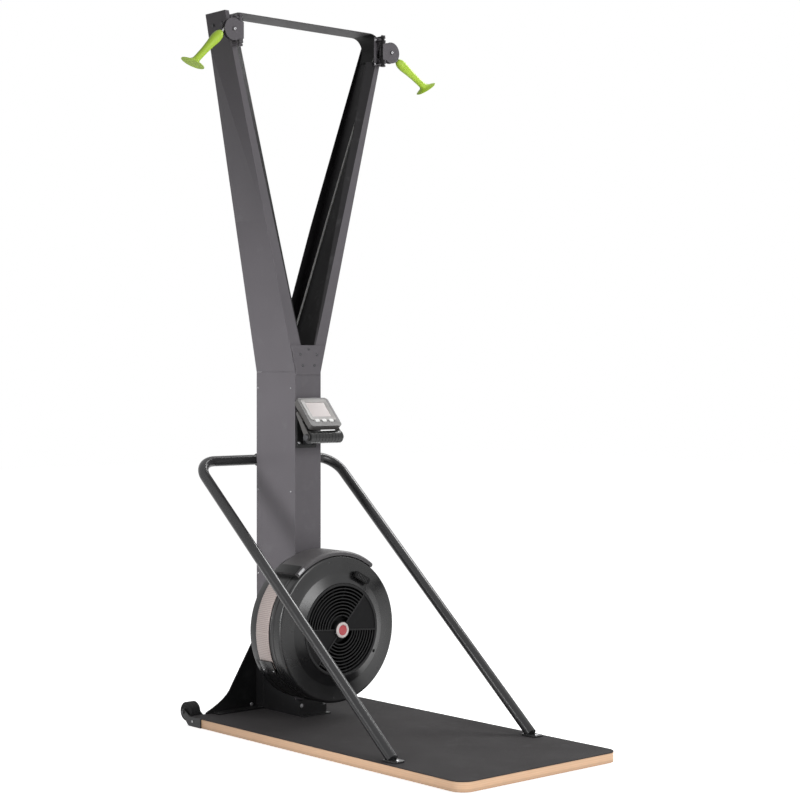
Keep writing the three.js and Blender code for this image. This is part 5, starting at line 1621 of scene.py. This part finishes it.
@dataclass
class Studio:
    """Pale floor, soft lights and the camera at the photograph's angle."""

    place: Place = (-3.4934, -3.984, 1.078)
    heading: float = math.radians(-41.4)
    sensor: float = 36.0
    lens: float = 1827 / 800 * 36  # focal length and width of the photo in pixels, width of the sensor
    shift: float = -0.035
    far: float = 60.0
    floor_half: float = 14.0
    floor_z: float = -0.0003
    floor_white: float = 0.9
    floor_glow: float = 0.84
    world_light: float = 0.2
    # Each lamp's name, place, aim, side in metres, power in watts and beam in degrees.
    lamps: tuple[tuple, ...] = (
        ("key_lamp", (0.3, -3.8, 2.2), (0.0, 0.3, 0.8), 2.0, 105, 180),
        ("side_lamp", (-1.9, 0.4, 1.0), (0.0, 0.5, 0.9), 0.6, 4.6, 68),
        ("edge_lamp", (-2.2, -0.9, 0.3), (-0.3, -0.2, 0.02), 0.5, 1.4, 45),
        ("rim_lamp", (2.6, 0.6, 3.2), (0.0, 0.0, 0.3), 1.2, 60, 180))

    def camera(self) -> None:
        """Sets the camera."""
        data = bpy.data.cameras.new("camera")
        data.sensor_width, data.lens = self.sensor, self.lens
        data.shift_y, data.clip_end = self.shift, self.far
        made = placed("camera", data)
        made.location = self.place
        made.rotation_euler = (QUARTER, 0, self.heading)
        bpy.context.scene.camera = made

    def lamp(self, name: str, place: Place, aim: Place, size: float, power: float, beam: float) -> None:
        """Adds a soft square lamp.

        Args:
            name: the lamp's name.
            place: where it hangs.
            aim: the point that it faces.
            size: its side.
            power: its power in watts.
            beam: the angle in degrees that its light fills.
        """
        data = bpy.data.lights.new(name, "AREA")
        data.size, data.energy, data.spread = size, power, math.radians(beam)
        made = placed(name, data)
        made.location = place
        made.rotation_euler = (Vector(aim) - Vector(place)).to_track_quat("-Z", "Y").to_euler()

    def ground(self) -> None:
        """Lays the pale floor, and brightens it where the camera or a reflection sees it."""
        half, grey = self.floor_half, self.floor_white
        mesh = bpy.data.meshes.new("floor")
        corners = [(x, y, self.floor_z) for x, y in oblong(-half, half, -half, half)]
        mesh.from_pydata(corners, [], [(0, 1, 2, 3)])
        placed("floor", mesh)
        paper = bpy.data.materials.new("floor_paper")
        paper.use_nodes = True
        sheet = Sheet(paper.node_tree)
        matt = sheet.add("ShaderNodeBsdfDiffuse", {"Color": (grey, grey, grey, 1.0)}).outputs[0]
        glow = sheet.add("ShaderNodeEmission", {"Color": WHITE, "Strength": self.floor_glow}).outputs[0]
        both = sheet.add("ShaderNodeAddShader", {0: matt, 1: glow}).outputs[0]
        sheet.finish("ShaderNodeOutputMaterial", matt, both)
        mesh.materials.append(paper)

    def sky(self) -> None:
        """Fills the world with even light and a white background."""
        world = bpy.data.worlds.new("studio")
        world.use_nodes = True
        bpy.context.scene.world = world
        sheet = Sheet(world.node_tree)
        even, white = (sheet.add("ShaderNodeBackground", {"Color": WHITE, "Strength": strength}).outputs[0]
                       for strength in (self.world_light, 1.0))
        sheet.finish("ShaderNodeOutputWorld", even, white)

    def dress(self) -> None:
        """Sets up the whole studio."""
        self.camera()
        self.ground()
        self.sky()
        for lamp in self.lamps:
            self.lamp(*lamp)
        bpy.context.scene.view_settings.view_transform = "Standard"


def main() -> None:
    """Builds every sub-assembly in order."""
    logging.basicConfig(level=logging.INFO, format="%(name)s: %(message)s")
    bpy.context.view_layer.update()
    for assembly in (Studio(), BaseBoard(), TransportWheels(), Post(), Arms(), SwivelHeads(), PullHandles(),
                     DriveCords(), FanHousing(), HandRail(), Monitor()):
        LOG.info("dressing %s", type(assembly).__name__)
        assembly.dress()


if __name__ == "__main__":
    main()
